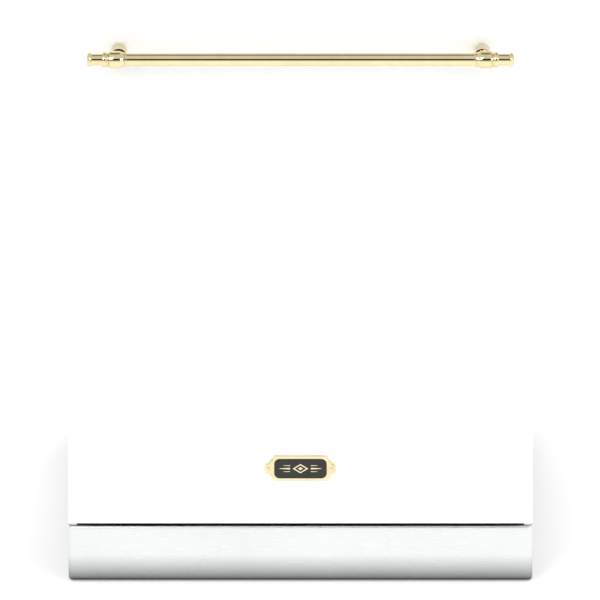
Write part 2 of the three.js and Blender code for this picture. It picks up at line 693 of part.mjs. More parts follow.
function topPanel() {
  const sheet = block(across(CABINET_HALF), deep(BODY_FRONT, DEPTH - 1.3), [BODY_TOP - SHEET, BODY_TOP]);
  const fold = block(
    across(CABINET_HALF),
    deep(BODY_FRONT + SHEET + FIT, BODY_FRONT + 2 * SHEET + FIT),
    [TUB_TOP + 14, BODY_TOP],
  );
  return sheet.add(fold);
}

function fixingBracket(side) {
  const x = across(18, side * FIXING_X);
  const plate = block(x, deep(BODY_FRONT - 3, BODY_FRONT + 40), [BODY_TOP + FIT, HEIGHT]);
  const hole = rod("z", 3, [side * FIXING_X, behind(BODY_FRONT + 16), 0], [BODY_TOP - 1, HEIGHT + 1]);
  return plate.subtract(hole);
}

function latchStrike() {
  const bottom = TUB_TOP + LATCH.above;
  const plate = block(
    across(LATCH.half + 4),
    deep(INNER_DOOR_BACK + FIT, BODY_FRONT - FIT),
    [bottom + 1, bottom + LATCH.rise - 1],
  );
  const tongue = block(
    across(LATCH.tongue),
    deep(INNER_DOOR_BACK - 14, INNER_DOOR_BACK + 1),
    [bottom + 4, bottom + 4 + LATCH.thick],
  );
  const eye = block(
    across(LATCH.tongue - 4), deep(INNER_DOOR_BACK - 11, INNER_DOOR_BACK - 5), [bottom, bottom + LATCH.rise]);
  return join([plate, tongue]).subtract(eye);
}

place("left_side_panel", sidePanel(-1), ...zinc);
place("right_side_panel", sidePanel(1), ...zinc);
place("rear_panel", block(across(CABINET_HALF), deep(DEPTH - 1, DEPTH), [BASIN_Z, BODY_TOP]), ...zinc);
place("top_panel", topPanel(), ...zinc);
place("left_fixing_bracket", fixingBracket(-1), ...zinc);
place("right_fixing_bracket", fixingBracket(1), ...zinc);
place("latch_strike", latchStrike(), ...zinc);

// ---- Tub ----
function tubWrapper() {
  const rear = TUB_REAR + SHEET + FIT;
  const outside = block(across(TUB_HALF + SHEET), deep(BODY_FRONT, rear), [LEDGE_Z - 6, TUB_TOP + SHEET]);
  const inside = block(across(TUB_HALF), deep(BODY_FRONT - 5, rear + 1), [LEDGE_Z - 10, TUB_TOP]);
  const flange = block(
    across(CABINET_HALF), deep(BODY_FRONT, BODY_FRONT + SHEET), [LEDGE_Z - 6, BODY_TOP - 6]);
  return join([outside, flange]).subtract(inside);
}

function tubFloor() {
  const half = TUB_HALF - FIT;
  const basin = (grow) => block(
    across(TUB_HALF - LEDGE_WIDTH + grow),
    deep(BODY_FRONT + 20 - grow, TUB_REAR - 20 + grow),
    [BASIN_Z - grow, LEDGE_Z + 1],
  );
  const outside = block(across(half), deep(BODY_FRONT + FIT, TUB_REAR), [BASIN_Z - SHEET, LEDGE_Z]);
  const under = block(
    across(half - SHEET),
    deep(BODY_FRONT + FIT + SHEET, TUB_REAR - SHEET),
    [BASIN_Z - SHEET - 1, LEDGE_Z - SHEET],
  );
  const holes = [
    rod("z", FILTER.radius + RUN, [0, behind(FILTER.behind), 0], [100, LEDGE_Z], 32),
    rod("z", POST.radius + 2, [0, behind(CENTRE), 0], [100, LEDGE_Z]),
    rod("z", SALT.stem + RUN, [SALT.x, behind(SALT.behind), 0], [100, LEDGE_Z], 24),
  ];
  return cut(outside, [basin(0), under.subtract(basin(SHEET)), ...holes]);
}

function tubGasket() {
  const span = deep(INNER_DOOR_BACK + FIT, BODY_FRONT - FIT);
  const ring = block(across(TUB_HALF + 8), span, [BASIN_Z + 1, TUB_TOP + 7]);
  return ring.subtract(block(
    across(TUB_HALF), deep(INNER_DOOR_BACK - 1, BODY_FRONT + 1), [LEDGE_Z - 5, TUB_TOP]));
}

function upperRail(side) {
  const bottom = UPPER.floor + RAIL.above;
  const channel = block(
    beside(side, TUB_HALF - FIT - RAIL.depth, TUB_HALF - FIT),
    deep(BODY_FRONT + 4, TUB_REAR - RAIL.short),
    [bottom, bottom + RAIL.height],
  );
  const room = block(
    beside(side, TUB_HALF - 20, TUB_HALF - FIT - RAIL.wall),
    deep(BODY_FRONT, TUB_REAR),
    [bottom + RAIL.wall, bottom + RAIL.height - RAIL.wall],
  );
  return channel.subtract(room);
}

place("tub_wrapper", tubWrapper(), ...steel);
place("tub_back", block(
  across(TUB_HALF - FIT),
  deep(TUB_REAR + FIT, TUB_REAR + FIT + SHEET),
  [LEDGE_Z - 6, TUB_TOP - FIT],
), ...steel);
place("tub_floor", tubFloor(), ...steel);
place("tub_gasket", tubGasket(), ...rubber);
place("left_upper_rail", upperRail(-1), ...steel);
place("right_upper_rail", upperRail(1), ...steel);

// ---- Water parts ----
function sump() {
  const top = BASIN_Z - SHEET - FIT;
  const outside = block(across(SUMP.half), deep(SUMP.front, SUMP.rear), [SUMP.bottom, top]);
  const inside = block(
    across(SUMP.half - SUMP.wall),
    deep(SUMP.front + SUMP.wall, SUMP.rear - SUMP.wall),
    [SUMP.bottom + SUMP.wall, top + 1],
  );
  const at = [0, behind(CENTRE), 0];
  const post = join([
    rod("z", POST.radius, at, [SUMP.bottom + 1, POST.top + 4]),
    rod("z", POST.radius + 4, at, [BASIN_Z + 12, BASIN_Z + 20]),
    rod("z", POST.radius + 3, at, [POST.top, POST.top + 4]),
  ]);
  const bore = rod("z", POST.bore, at, [SUMP.bottom + 6, POST.top + 5]);
  const window = block(across(20), across(4, behind(CENTRE)), [SUMP.bottom + 8, SUMP.bottom + 20]);
  return cut(join([outside.subtract(inside), post]), [bore, window]);
}

function filterCup() {
  const at = [0, behind(FILTER.behind), 0];
  const depth = SUMP.bottom + SUMP.wall + 14;
  const cup = rod("z", FILTER.radius, at, [depth, BASIN_Z + 2], 24);
  const flange = rod("z", FILTER.flange, at, [BASIN_Z + FIT, BASIN_Z + 3], 24);
  const pocket = rod("z", FILTER.radius - 2, at, [depth + 2, BASIN_Z + 5], 24);
  const grip = block(across(FILTER.radius + 4), across(2.5, at[1]), [BASIN_Z + 1, BASIN_Z + 16]);
  const gripHole = block(across(24), across(4, at[1]), [BASIN_Z + 4, BASIN_Z + 12]);
  return join([join([cup, flange]).subtract(pocket), grip]).subtract(gripHole);
}

function saltCap() {
  const at = [SALT.x, behind(SALT.behind), 0];
  const cap = rod("z", SALT.cap, at, [BASIN_Z + FIT, BASIN_Z + 8], 20);
  const stem = rod("z", SALT.stem, at, [BASIN_Z - 16, BASIN_Z + 2], 20);
  const grip = block(across(SALT.cap - 6, SALT.x), across(4, at[1]), [BASIN_Z + 7, BASIN_Z + 14]);
  const hollow = rod("z", SALT.stem - 3, at, [BASIN_Z - 17, BASIN_Z + 4], 20);
  return join([cap, stem, grip]).subtract(hollow);
}

// A hub on the spray axis with two blades that taper to their rounded tips.
function sprayArm(bottom, bore, reach) {
  const at = [0, behind(CENTRE), 0];
  const centre = behind(CENTRE);
  const blade = (side) => polygon([
    [0, centre - side * 24],
    [side * (reach - 12), centre - side * 15],
    [side * reach, centre - side * 8],
    [side * reach, centre + side * 8],
    [side * (reach - 12), centre + side * 15],
    [0, centre + side * 24],
  ]);
  const hub = rod("z", 22, at, [bottom, bottom + 18], 20);
  const blades = [-1, 1].map((side) => prism("z", blade(side), [bottom + 4, bottom + 13]));
  const jets = [0.35, 0.6, 0.85].flatMap((part) => [-1, 1].map((side) =>
    block(across(7, side * part * reach), across(1.2, centre), [bottom + 11, bottom + 20])));
  return cut(join([hub, ...blades]), [rod("z", bore, at, [bottom - 1, bottom + 20]), ...jets]);
}

function circulationPump() {
  const at = [SUMP.half + 62, behind(CENTRE + 20), 68];
  const motor = rod("y", 34, at, [0, 120], 20);
  const volute = rod("y", 44, at, [-34, 1], 24);
  const outlet = rod("x", 12, [0, behind(CENTRE + 3), SUMP.bottom + 5], [SUMP.half + FIT, SUMP.half + 60]);
  const stand = block(across(16, at[0]), across(30, at[1] + 60), [BASE_BOTTOM + BASE_WALL + FIT, 60]);
  return join([motor, volute, outlet, stand]);
}

function drainPump() {
  const at = [-SUMP.half - FIT, behind(CENTRE + 30), SUMP.bottom + 14];
  const motor = rod("x", 24, [0, at[1], at[2] - 16], [-SUMP.half - 90, -SUMP.half - 20], 20);
  const inlet = rod("x", 10, [0, at[1], at[2]], [-SUMP.half - 30, -SUMP.half - FIT]);
  const outlet = rod("y", 8, [-SUMP.half - 35, at[1], at[2] - 16], [0, 60]);
  const stand = block(
    across(12, -SUMP.half - 60), across(16, at[1]), [BASE_BOTTOM + BASE_WALL + FIT, at[2] - 30]);
  return join([motor, inlet, outlet, stand]);
}

function inletValve() {
  const rear = BASE_REAR - BASE_WALL - FIT;
  const body = block(across(17, INLET_X), deep(rear - 46, rear), across(17, INLET_Z));
  const coil = block(across(14, INLET_X), deep(rear - 78, rear - 40), across(13, INLET_Z));
  const spigot = rod("y", 10, [INLET_X, behind(rear), INLET_Z], [-1, BASE_WALL + 1.2]);
  const bore = rod("y", 6, [INLET_X, behind(rear), INLET_Z], [-14, 8]);
  const stand = block(
    across(10, INLET_X), deep(rear - 40, rear - 6), [BASE_BOTTOM + BASE_WALL + FIT, INLET_Z - 10]);
  return join([body, coil, spigot, stand]).subtract(bore);
}

function riserPipe() {
  const top = UPPER.floor - 1;
  const duct = block(across(13), deep(TUB_REAR - 14, TUB_REAR), [LEDGE_Z + FIT, top]);
  const flow = block(across(10.5), deep(TUB_REAR - 11.5, TUB_REAR - 2.5), [LEDGE_Z - 1, top - 3]);
  const port = rod("y", 5, [0, behind(TUB_REAR - 14), UPPER.floor - 10], [-3, 6]);
  return cut(duct, [flow, port]);
}

place("sump", sump(), ...black);
place("filter_cup", filterCup(), ...pale);
place("salt_cap", saltCap(), ...grey);
place("lower_spray_arm", sprayArm(BASIN_Z + 21, POST.radius + RUN, ARM_REACH), ...steel);
place("circulation_pump", circulationPump(), ...black);
place("drain_pump", drainPump(), ...black);
place("inlet_valve", inletValve(), ...pale);
place("riser_pipe", riserPipe(), ...grey);

// ---- Racks ----
// Evenly spaced stations between two limits, both included.
const stations = (from, to, count) =>
  Array.from({ length: count }, (_, i) => from + ((to - from) * i) / (count - 1));

// Floor wires both ways that run on up the walls, and level wires round the walls.
// The cross wires are a little thinner than the long ones, and the level wires thinner again.
function basket({ half, floor, height, columns, rows }) {
  const front = behind(RACK_FRONT);
  const rear = behind(RACK_REAR);
  const xs = stations(-half, half - WIRE, columns);
  const ys = stations(front, rear - WIRE, rows);
  const wall = [floor, floor + height - WIRE / 2];
  const along = xs.flatMap((x) => [
    block([x, x + WIRE], [front, rear], [floor, floor + WIRE]),
    block([x, x + WIRE], [front, front + WIRE], wall),
    block([x, x + WIRE], [rear - WIRE, rear], wall),
  ]);
  const thin = [STEP, WIRE - STEP];
  const over = ys.flatMap((y) => {
    const span = thin.map((edge) => y + edge);
    const post = [floor + STEP, wall[1]];
    return [
      block(across(half - STEP), span, thin.map((edge) => floor + edge)),
      block(thin.map((edge) => edge - half), span, post),
      block(thin.map((edge) => half - WIRE + edge), span, post),
    ];
  });
  const rims = [0.5, 1].map((part) => {
    const top = floor + height * part;
    const outer = block(
      across(half - 2 * STEP), [front + 2 * STEP, rear - 2 * STEP], [top - WIRE + STEP, top]);
    const inner = block(
      across(half - WIRE + 2 * STEP),
      [front + WIRE - 2 * STEP, rear - WIRE + 2 * STEP],
      [top - WIRE, top + 1],
    );
    return outer.subtract(inner);
  });
  return join([...along, ...over, ...rims]);
}

const rowStation = (rack, index) =>
  stations(behind(RACK_FRONT), behind(RACK_REAR) - WIRE, rack.rows)[index] + WIRE / 2;

const WHEEL_Z = LEDGE_Z + WHEEL.lift + WHEEL.radius;
const WHEEL_NEAR = LOWER.half - 10;
const wheelSpots = [[-1, WHEEL.front], [1, WHEEL.front], [-1, WHEEL.rear], [1, WHEEL.rear]];

function wheelCarrier([side, from]) {
  const y = behind(INNER_DOOR_BACK + from);
  const plate = block(
    beside(side, WHEEL_NEAR - 5, WHEEL_NEAR - 1), across(8, y), [WHEEL_Z - 7, LOWER.floor + WIRE - STEP]);
  const shelf = block(
    beside(side, WHEEL_NEAR - 5, LOWER.half - STEP),
    across(8, y),
    [LOWER.floor + STEP, LOWER.floor + WIRE - STEP],
  );
  const far = WHEEL_NEAR + WHEEL.width;
  const axle = rod("x", WHEEL.axle, [0, y, WHEEL_Z], beside(side, WHEEL_NEAR - 2, far + 3));
  const head = rod("x", WHEEL.axle + 3, [0, y, WHEEL_Z], beside(side, far + RUN, far + 3));
  return [plate, shelf, axle, head];
}

function rackWheel([side, from]) {
  const at = [0, behind(INNER_DOOR_BACK + from), WHEEL_Z];
  const far = WHEEL_NEAR + WHEEL.width;
  const tyre = rod("x", WHEEL.radius, at, beside(side, WHEEL_NEAR, far), 24);
  const bore = rod("x", WHEEL.axle + 0.5, at, beside(side, WHEEL_NEAR - 1, far + 1));
  const dish = rod("x", WHEEL.radius - 5, at, beside(side, far - 3, far + 1));
  return cut(tyre, [bore, dish]);
}

const TINES = { from: -75.6, to: LOWER.half - 35.3, row: 3, length: 62, bar: 2.5, count: 11, above: 8 };
const TINE_Z = LOWER.floor + WIRE + TINES.above;

function tineClip(x) {
  const y = rowStation(LOWER, TINES.row);
  const post = block(across(3, x), across(5, y), [LOWER.floor + 1, TINE_Z + 6]);
  return post.subtract(rod("x", TINES.bar + 0.6, [x, y, TINE_Z], [-5, 5]));
}

function plateTines() {
  const y = rowStation(LOWER, TINES.row);
  const bar = rod("x", TINES.bar, [0, y, TINE_Z], [TINES.from - 5, TINES.to + 5], 10);
  const tines = stations(TINES.from + 12, TINES.to - 12, TINES.count).map((x) =>
    block(across(WIRE / 2, x), across(WIRE / 2, y), [TINE_Z, TINE_Z + TINES.length]));
  return join([bar, ...tines]);
}

function lowerRack() {
  const carriers = wheelSpots.flatMap(wheelCarrier);
  return join([basket(LOWER), ...carriers, tineClip(TINES.from), tineClip(TINES.to)]);
}

const CUTLERY = { near: LOWER.half - 96, far: LOWER.half - 14, front: 112, rear: 332, height: 116, wall: 2 };

function cutleryBasket() {
  const bottom = LOWER.floor + WIRE + FIT;
  const top = bottom + CUTLERY.height;
  const [x0, x1] = beside(-1, CUTLERY.near, CUTLERY.far);
  const [y0, y1] = deep(CUTLERY.front, CUTLERY.rear);
  const box = block([x0, x1], [y0, y1], [bottom, top]);
  const cells = 4;
  const pitch = (y1 - y0 - CUTLERY.wall) / cells;
  const middle = (x0 + x1) / 2;
  const rooms = [[x0 + CUTLERY.wall, middle - 1], [middle + 1, x1 - CUTLERY.wall]].flatMap((x) =>
    stations(0, cells - 1, cells).map((i) => block(
      x,
      [y0 + CUTLERY.wall + i * pitch, y0 + (i + 1) * pitch],
      [bottom + CUTLERY.wall, top + 1],
    )));
  const grip = block(across(1, middle), across(50, (y0 + y1) / 2), [top - 10, top + 30]);
  const gripHole = block(across(2, middle), across(36, (y0 + y1) / 2), [top + 8, top + 22]);
  const windows = [0, 1, 2, 3].map((i) => block(
    [x0 - 1, x1 + 1],
    across(pitch * 0.28, y0 + (i + 0.5) * pitch),
    [bottom + 22, bottom + CUTLERY.height * 0.7],
  ));
  const centreWall = block(across(1, middle), [y0, y1], [bottom, top]);
  return join([cut(box, [...rooms, ...windows]), centreWall, grip]).subtract(gripHole);
}

const SHELF = { axisX: UPPER.half - 9, axle: 2.5, reach: 108, frontRow: 1, rearRow: 4 };
const SHELF_Z = UPPER.floor + UPPER.height * 0.66;

function shelfClip(row) {
  const y = rowStation(UPPER, row);
  const lug = block([SHELF.axisX - 5, UPPER.half - 2 * STEP], across(3, y), across(7, SHELF_Z));
  return lug.subtract(rod("y", SHELF.axle + 0.6, [SHELF.axisX, y, SHELF_Z], [-5, 5]));
}

function cupShelf() {
  const front = rowStation(UPPER, SHELF.frontRow);
  const rear = rowStation(UPPER, SHELF.rearRow);
  const axle = rod("y", SHELF.axle, [SHELF.axisX, 0, SHELF_Z], [front - 5, rear + 5], 10);
  const z = across(WIRE / 2, SHELF_Z);
  const span = [front + 12, rear - 12];
  const cross = stations(span[0], span[1], 5).map((y) =>
    block([SHELF.axisX - SHELF.reach, SHELF.axisX], across(WIRE / 2, y), z));
  const long = stations(SHELF.axisX - SHELF.reach + 2, SHELF.axisX - 14, 3).map((x) =>
    block(across(WIRE / 2, x), [span[0] - 2, span[1] + 2], z));
  return join([axle, ...cross, ...long]);
}

function upperRack() {
  const bottom = UPPER.floor + RAIL.above + RAIL.wall + RUN;
  const runners = [-1, 1].map((side) => block(
    beside(side, UPPER.half - WIRE + 2 * STEP, TUB_HALF - FIT - RAIL.wall - RUN),
    deep(RACK_FRONT + STEP, RACK_REAR - STEP),
    [bottom, bottom + RAIL.height - 2 * (RAIL.wall + RUN)],
  ));
  const at = [0, behind(CENTRE), UPPER.floor];
  const feedZ = UPPER.floor - FEED_RADIUS + 2.6;
  const feed = rod("y", FEED_RADIUS, [0, behind(CENTRE), feedZ], [0, TUB_REAR - 15 - CENTRE]);
  const hub = join([
    rod("z", 14, at, [-22, 1.4]),
    rod("z", 6, at, [-46, -20]),
    rod("z", 10, at, [-50, -46]),
  ]);
  const clips = [shelfClip(SHELF.frontRow), shelfClip(SHELF.rearRow)];
  const bearer = block(
    across(UPPER.half - STEP),
    across(WIRE / 2 - STEP, behind(CENTRE)),
    [UPPER.floor + STEP, UPPER.floor + WIRE - STEP],
  );
  return join([basket(UPPER), ...runners, feed, hub, ...clips, bearer]);
}

place("lower_rack", lowerRack(), ...coated);
["wheel_front_left", "wheel_front_right", "wheel_rear_left", "wheel_rear_right"].forEach((name, index) =>
  place(name, rackWheel(wheelSpots[index]), ...pale));
place("plate_tines", plateTines(), ...coated);
place("cutlery_basket", cutleryBasket(), ...grey);
place("upper_rack", upperRack(), ...coated);
place("upper_spray_arm", sprayArm(UPPER.floor - 44, 6 + RUN, ARM_REACH), ...steel);
place("cup_shelf", cupShelf(), ...coated);

export default group;
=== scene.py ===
"""Looks of the built in dishwasher: camera, light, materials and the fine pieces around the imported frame."""

import json
import math

import bmesh
import bpy
from mathutils import Matrix, Vector


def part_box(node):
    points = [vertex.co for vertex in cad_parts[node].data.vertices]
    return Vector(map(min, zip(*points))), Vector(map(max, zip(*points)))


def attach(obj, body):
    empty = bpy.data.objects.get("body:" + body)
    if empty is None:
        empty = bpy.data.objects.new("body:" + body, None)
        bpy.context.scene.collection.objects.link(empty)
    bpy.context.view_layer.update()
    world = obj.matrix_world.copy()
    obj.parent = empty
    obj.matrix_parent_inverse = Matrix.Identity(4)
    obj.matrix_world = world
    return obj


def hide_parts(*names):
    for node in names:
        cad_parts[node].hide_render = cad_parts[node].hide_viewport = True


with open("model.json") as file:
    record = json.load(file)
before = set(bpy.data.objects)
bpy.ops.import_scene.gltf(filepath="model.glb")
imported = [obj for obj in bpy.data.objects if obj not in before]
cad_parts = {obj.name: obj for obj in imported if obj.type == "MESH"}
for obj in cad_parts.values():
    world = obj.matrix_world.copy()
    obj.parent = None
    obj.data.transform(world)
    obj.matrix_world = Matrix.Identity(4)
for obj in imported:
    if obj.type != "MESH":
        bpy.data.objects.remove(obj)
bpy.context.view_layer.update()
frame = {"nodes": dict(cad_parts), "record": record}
MM = 0.001


# ---- Camera ----
ELEVATION = math.radians(21.05)
LENS = 1400  # millimetres: a long lens, because the photo shows no convergence
SENSOR = 36
VIEW_WIDTH = 0.770  # metres across the picture at the door
DOOR_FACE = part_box("door_panel")[0][1]
TARGET = Vector((-0.0006, DOOR_FACE, 0.3914))


def make_camera():
    data = bpy.data.cameras.new("camera")
    data.lens = LENS
    data.sensor_width = SENSOR
    distance = VIEW_WIDTH * LENS / SENSOR
    data.clip_end = 3 * distance
    camera = bpy.data.objects.new("camera", data)
    away = Vector((0, -math.cos(ELEVATION), math.sin(ELEVATION)))
    camera.location = TARGET + away * distance
    camera.rotation_euler = (math.pi / 2 - ELEVATION, 0, 0)
    bpy.context.collection.objects.link(camera)
    bpy.context.scene.camera = camera


make_camera()


# ---- Materials ----
def new_material(name):
    made = bpy.data.materials.new(name)
    made.use_nodes = True
    nodes = made.node_tree.nodes
    shader = nodes["Principled BSDF"]
    return made, nodes, made.node_tree.links, shader


FINE_DETAIL = 5.0
BROAD_DETAIL = 3.0
NOISE_RANGE = (0.3, 0.7)
TINT_RANGE = (0.35, 0.65)
BUMP_DISTANCE = 0.4 * MM
COAT_ROUGHNESS = 0.04
LEAST_ROUGHNESS = 0.02
WORN_BEND = (0.52, 0.62)  # pointiness of an edge: above 0.5 it turns outwards
# painted shade: the bend where the colour starts to go dark as the surface turns inwards
CREASE_SHADE_BEND = (0.485, 0.44)
WORN_GAIN, WORN_LIFT = 1.35, 0.03
# painted shade: how dark the creases are painted, as a share of the colour
CREASE_SHADE_GAIN = 0.08


def mapped_noise(nodes, links, scale, stretch, detail=FINE_DETAIL):
    """Noise in the object's own metres; stretch draws its grain out along an axis."""
    place = nodes.new("ShaderNodeTexCoord")
    mapping = nodes.new("ShaderNodeMapping")
    mapping.inputs["Scale"].default_value = stretch
    noise = nodes.new("ShaderNodeTexNoise")
    noise.inputs["Scale"].default_value = scale
    noise.inputs["Detail"].default_value = detail
    links.new(place.outputs["Object"], mapping.inputs["Vector"])
    links.new(mapping.outputs["Vector"], noise.inputs["Vector"])
    return noise


def spread(nodes, links, source, low, high):
    ranged = nodes.new("ShaderNodeMapRange")
    ranged.inputs["From Min"].default_value, ranged.inputs["From Max"].default_value = NOISE_RANGE
    ranged.inputs["To Min"].default_value = low
    ranged.inputs["To Max"].default_value = high
    links.new(source, ranged.inputs["Value"])
    return ranged.outputs["Result"]


def surface(name, colour, rough, metal=0.0, vary=0.04, grain=900, stretch=(1, 1, 1), bump=0.03,
            tint=0.06, coat=0.0, wear=0.0, haze=7, crease_shade=0.0):
    """A material with uneven colour and gloss, a fine grain in its height, worn edges and painted shade in its
    creases.
    """
    made, nodes, links, shader = new_material(name)
    shader.inputs["Metallic"].default_value = metal
    shader.inputs["Coat Weight"].default_value = coat
    shader.inputs["Coat Roughness"].default_value = COAT_ROUGHNESS
    fine = mapped_noise(nodes, links, grain, stretch)
    broad = mapped_noise(nodes, links, haze, (1, 1, 1), BROAD_DETAIL)
    links.new(spread(nodes, links, fine.outputs["Fac"], max(LEAST_ROUGHNESS, rough - vary), rough + vary),
              shader.inputs["Roughness"])
    ramp = nodes.new("ShaderNodeValToRGB")
    dark = [channel * (1 - tint) for channel in colour]
    for element, position, shade in zip(ramp.color_ramp.elements, TINT_RANGE, (dark, colour)):
        element.position = position
        element.color = (*shade, 1)
    links.new(broad.outputs["Fac"], ramp.inputs["Fac"])
    shade = ramp.outputs["Color"]
    if wear:
        light = [min(1.0, channel * WORN_GAIN + WORN_LIFT) for channel in colour]
        shade = tint_by_bend(nodes, links, shade, light, WORN_BEND, wear)
    # painted shade: where the surface turns inwards, the colour is mixed towards near black
    if crease_shade:
        painted_crease_shade = [channel * CREASE_SHADE_GAIN for channel in colour]
        shade = tint_by_bend(nodes, links, shade, painted_crease_shade, CREASE_SHADE_BEND, crease_shade)
    links.new(shade, shader.inputs["Base Color"])
    height = nodes.new("ShaderNodeBump")
    height.inputs["Strength"].default_value = bump
    height.inputs["Distance"].default_value = BUMP_DISTANCE
    links.new(fine.outputs["Fac"], height.inputs["Height"])
    links.new(height.outputs["Normal"], shader.inputs["Normal"])
    return made


def tint_by_bend(nodes, links, shade, colour, bend, most):
    """Mixes in a colour where the surface turns outwards, or inwards, sharply."""
    geometry = nodes.new("ShaderNodeNewGeometry")
    edge = nodes.new("ShaderNodeMapRange")
    edge.inputs["From Min"].default_value = bend[0]
    edge.inputs["From Max"].default_value = bend[1]
    edge.inputs["To Max"].default_value = most
    mix = nodes.new("ShaderNodeMix")
    mix.data_type = "RGBA"
    mix.inputs["B"].default_value = (*colour, 1)
    links.new(geometry.outputs["Pointiness"], edge.inputs["Value"])
    links.new(edge.outputs["Result"], mix.inputs["Factor"])
    links.new(shade, mix.inputs["A"])
    return mix.outputs["Result"]


ALONG_X = (0.03, 1, 1)
ALONG_Z = (1, 1, 0.03)
MATERIALS = {
    "white_enamel": surface("white_gloss", (0.94, 0.94, 0.935), 0.09, coat=0.6, vary=0.02, grain=260,
                            bump=0.012, tint=0.012),
    # the brass carries painted shade in its creases
    "brass": surface("polished_brass", (0.79, 0.675, 0.41), 0.05, 1.0, vary=0.02, grain=1500,
                     stretch=ALONG_X, bump=0.02, tint=0.07, wear=0.3, haze=60, crease_shade=0.9),
    "black_enamel": surface("vitreous_black", (0.010, 0.010, 0.011), 0.16, coat=0.0, vary=0.04,
                            grain=1400, bump=0.03, tint=0.3),
    "satin_steel": surface("satin_steel", (0.80, 0.815, 0.82), 0.30, 1.0, vary=0.05, grain=1600,
                           stretch=ALONG_X, bump=0.03, tint=0.03, wear=0.2),
    "tub_steel": surface("tub_steel", (0.70, 0.71, 0.715), 0.26, 1.0, vary=0.07, grain=1500,
                         stretch=ALONG_Z, bump=0.04, tint=0.05, wear=0.3),
    "zinc_steel": surface("zinc_steel", (0.45, 0.465, 0.475), 0.42, 0.9, vary=0.10, grain=120,
                          bump=0.03, tint=0.16, wear=0.35, haze=45),
    "black_plastic": surface("black_plastic", (0.022, 0.022, 0.023), 0.42, vary=0.07, grain=2600,
                             bump=0.10, tint=0.25, wear=0.4),
    "grey_plastic": surface("grey_plastic", (0.30, 0.315, 0.325), 0.45, vary=0.06, grain=2400,
                            bump=0.08, tint=0.08, wear=0.3),
    "pale_plastic": surface("pale_plastic", (0.72, 0.73, 0.73), 0.42, vary=0.06, grain=2400,
                            bump=0.07, tint=0.05, wear=0.2),
    "blue_plastic": surface("blue_plastic", (0.12, 0.26, 0.36), 0.38, vary=0.06, grain=2400,
                            bump=0.07, tint=0.10, wear=0.3),
    "coated_wire": surface("coated_wire", (0.34, 0.36, 0.375), 0.34, vary=0.08, grain=1800,
                           bump=0.06, tint=0.08, wear=0.2, haze=30),
    "rubber": surface("rubber", (0.028, 0.028, 0.029), 0.75, vary=0.10, grain=1900, bump=0.16,
                      tint=0.2),
}
GLASS_DARK = surface("display_glass", (0.008, 0.009, 0.010), 0.06, coat=1.0, vary=0.02, grain=900,
                     bump=0.01, tint=0.3)
LAMP_GREEN = surface("lamp_lens", (0.30, 0.62, 0.36), 0.25, vary=0.05, grain=1200, bump=0.05)
SCREW_STEEL = surface("screw_steel", (0.50, 0.51, 0.52), 0.35, 1.0, vary=0.10, grain=1700,
                      bump=0.06, tint=0.15, wear=0.5)


def paint_shade_low(made, low, high, stops):
    """Steel painted darker towards its lower edge: painted shade for the shadowed floor it would reflect, and
    a painted contact shadow along the bottom; stops are (part of the rise, brightness) pairs.
    """
    nodes, links = made.node_tree.nodes, made.node_tree.links
    shader = nodes["Principled BSDF"]
    place = nodes.new("ShaderNodeTexCoord")
    split = nodes.new("ShaderNodeSeparateXYZ")
    rise = nodes.new("ShaderNodeMapRange")
    rise.inputs["From Min"].default_value = low
    rise.inputs["From Max"].default_value = high
    shade = nodes.new("ShaderNodeMix")
    shade.data_type = "RGBA"
    shade.blend_type = "MULTIPLY"
    shade.inputs["Factor"].default_value = 1.0
    links.new(place.outputs["Object"], split.inputs["Vector"])
    links.new(split.outputs["Z"], rise.inputs["Value"])
    links.new(shader.inputs["Base Color"].links[0].from_socket, shade.inputs["A"])
    links.new(grey_ramp(nodes, links, rise.outputs["Result"], stops), shade.inputs["B"])
    links.new(shade.outputs["Result"], shader.inputs["Base Color"])


def grey_ramp(nodes, links, source, stops):
    """A ramp through grey (position, value) stops; the first and last are its ends."""
    ramp = nodes.new("ShaderNodeValToRGB")
    ends = ramp.color_ramp.elements
    ends[0].position, ends[1].position = stops[0][0], stops[-1][0]
    ends[0].color = (*[stops[0][1]] * 3, 1)
    ends[1].color = (*[stops[-1][1]] * 3, 1)
    for position, value in stops[1:-1]:
        ends.new(position).color = (value, value, value, 1)
    links.new(source, ramp.inputs["Fac"])
    return ramp.outputs["Color"]


# ---- Meshes ----
def link(obj):
    bpy.context.collection.objects.link(obj)
    return obj


SHARP_ANGLE = 40


def add_piece(name, mesh, body, slot, material=None, replaces=(), smooth=SHARP_ANGLE):
    mesh.materials.append(material or MATERIALS[slot])
    obj = link(bpy.data.objects.new(name, mesh))
    for face in mesh.polygons:
        face.use_smooth = True
    mesh.set_sharp_from_angle(angle=math.radians(smooth))
    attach(obj, body)
    if replaces:
        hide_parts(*replaces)
    return obj


def mesh_from(bm, name):
    bmesh.ops.recalc_face_normals(bm, faces=bm.faces[:])
    mesh = bpy.data.meshes.new(name)
    bm.to_mesh(mesh)
    bm.free()
    return mesh


def add_block(bm, low, high, bevel=0.0, segments=2):
    """A block with rounded edges, added to bm."""
    low, high = Vector(low), Vector(high)
    made = bmesh.ops.create_cube(bm, size=1)["verts"]
    bmesh.ops.scale(bm, vec=high - low, verts=made)
    bmesh.ops.translate(bm, vec=(low + high) / 2, verts=made)
    if bevel:
        edges = list(dict.fromkeys(edge for vert in made for edge in vert.link_edges))
        bmesh.ops.bevel(bm, geom=edges, offset=bevel, segments=segments, affect="EDGES", profile=0.5)


AXES = {
    "x": Matrix(((0, 0, 1), (0, 1, 0), (-1, 0, 0))),
    "y": Matrix(((1, 0, 0), (0, 0, 1), (0, -1, 0))),
    "z": Matrix.Identity(3),
}


ON_AXIS = 1e-7


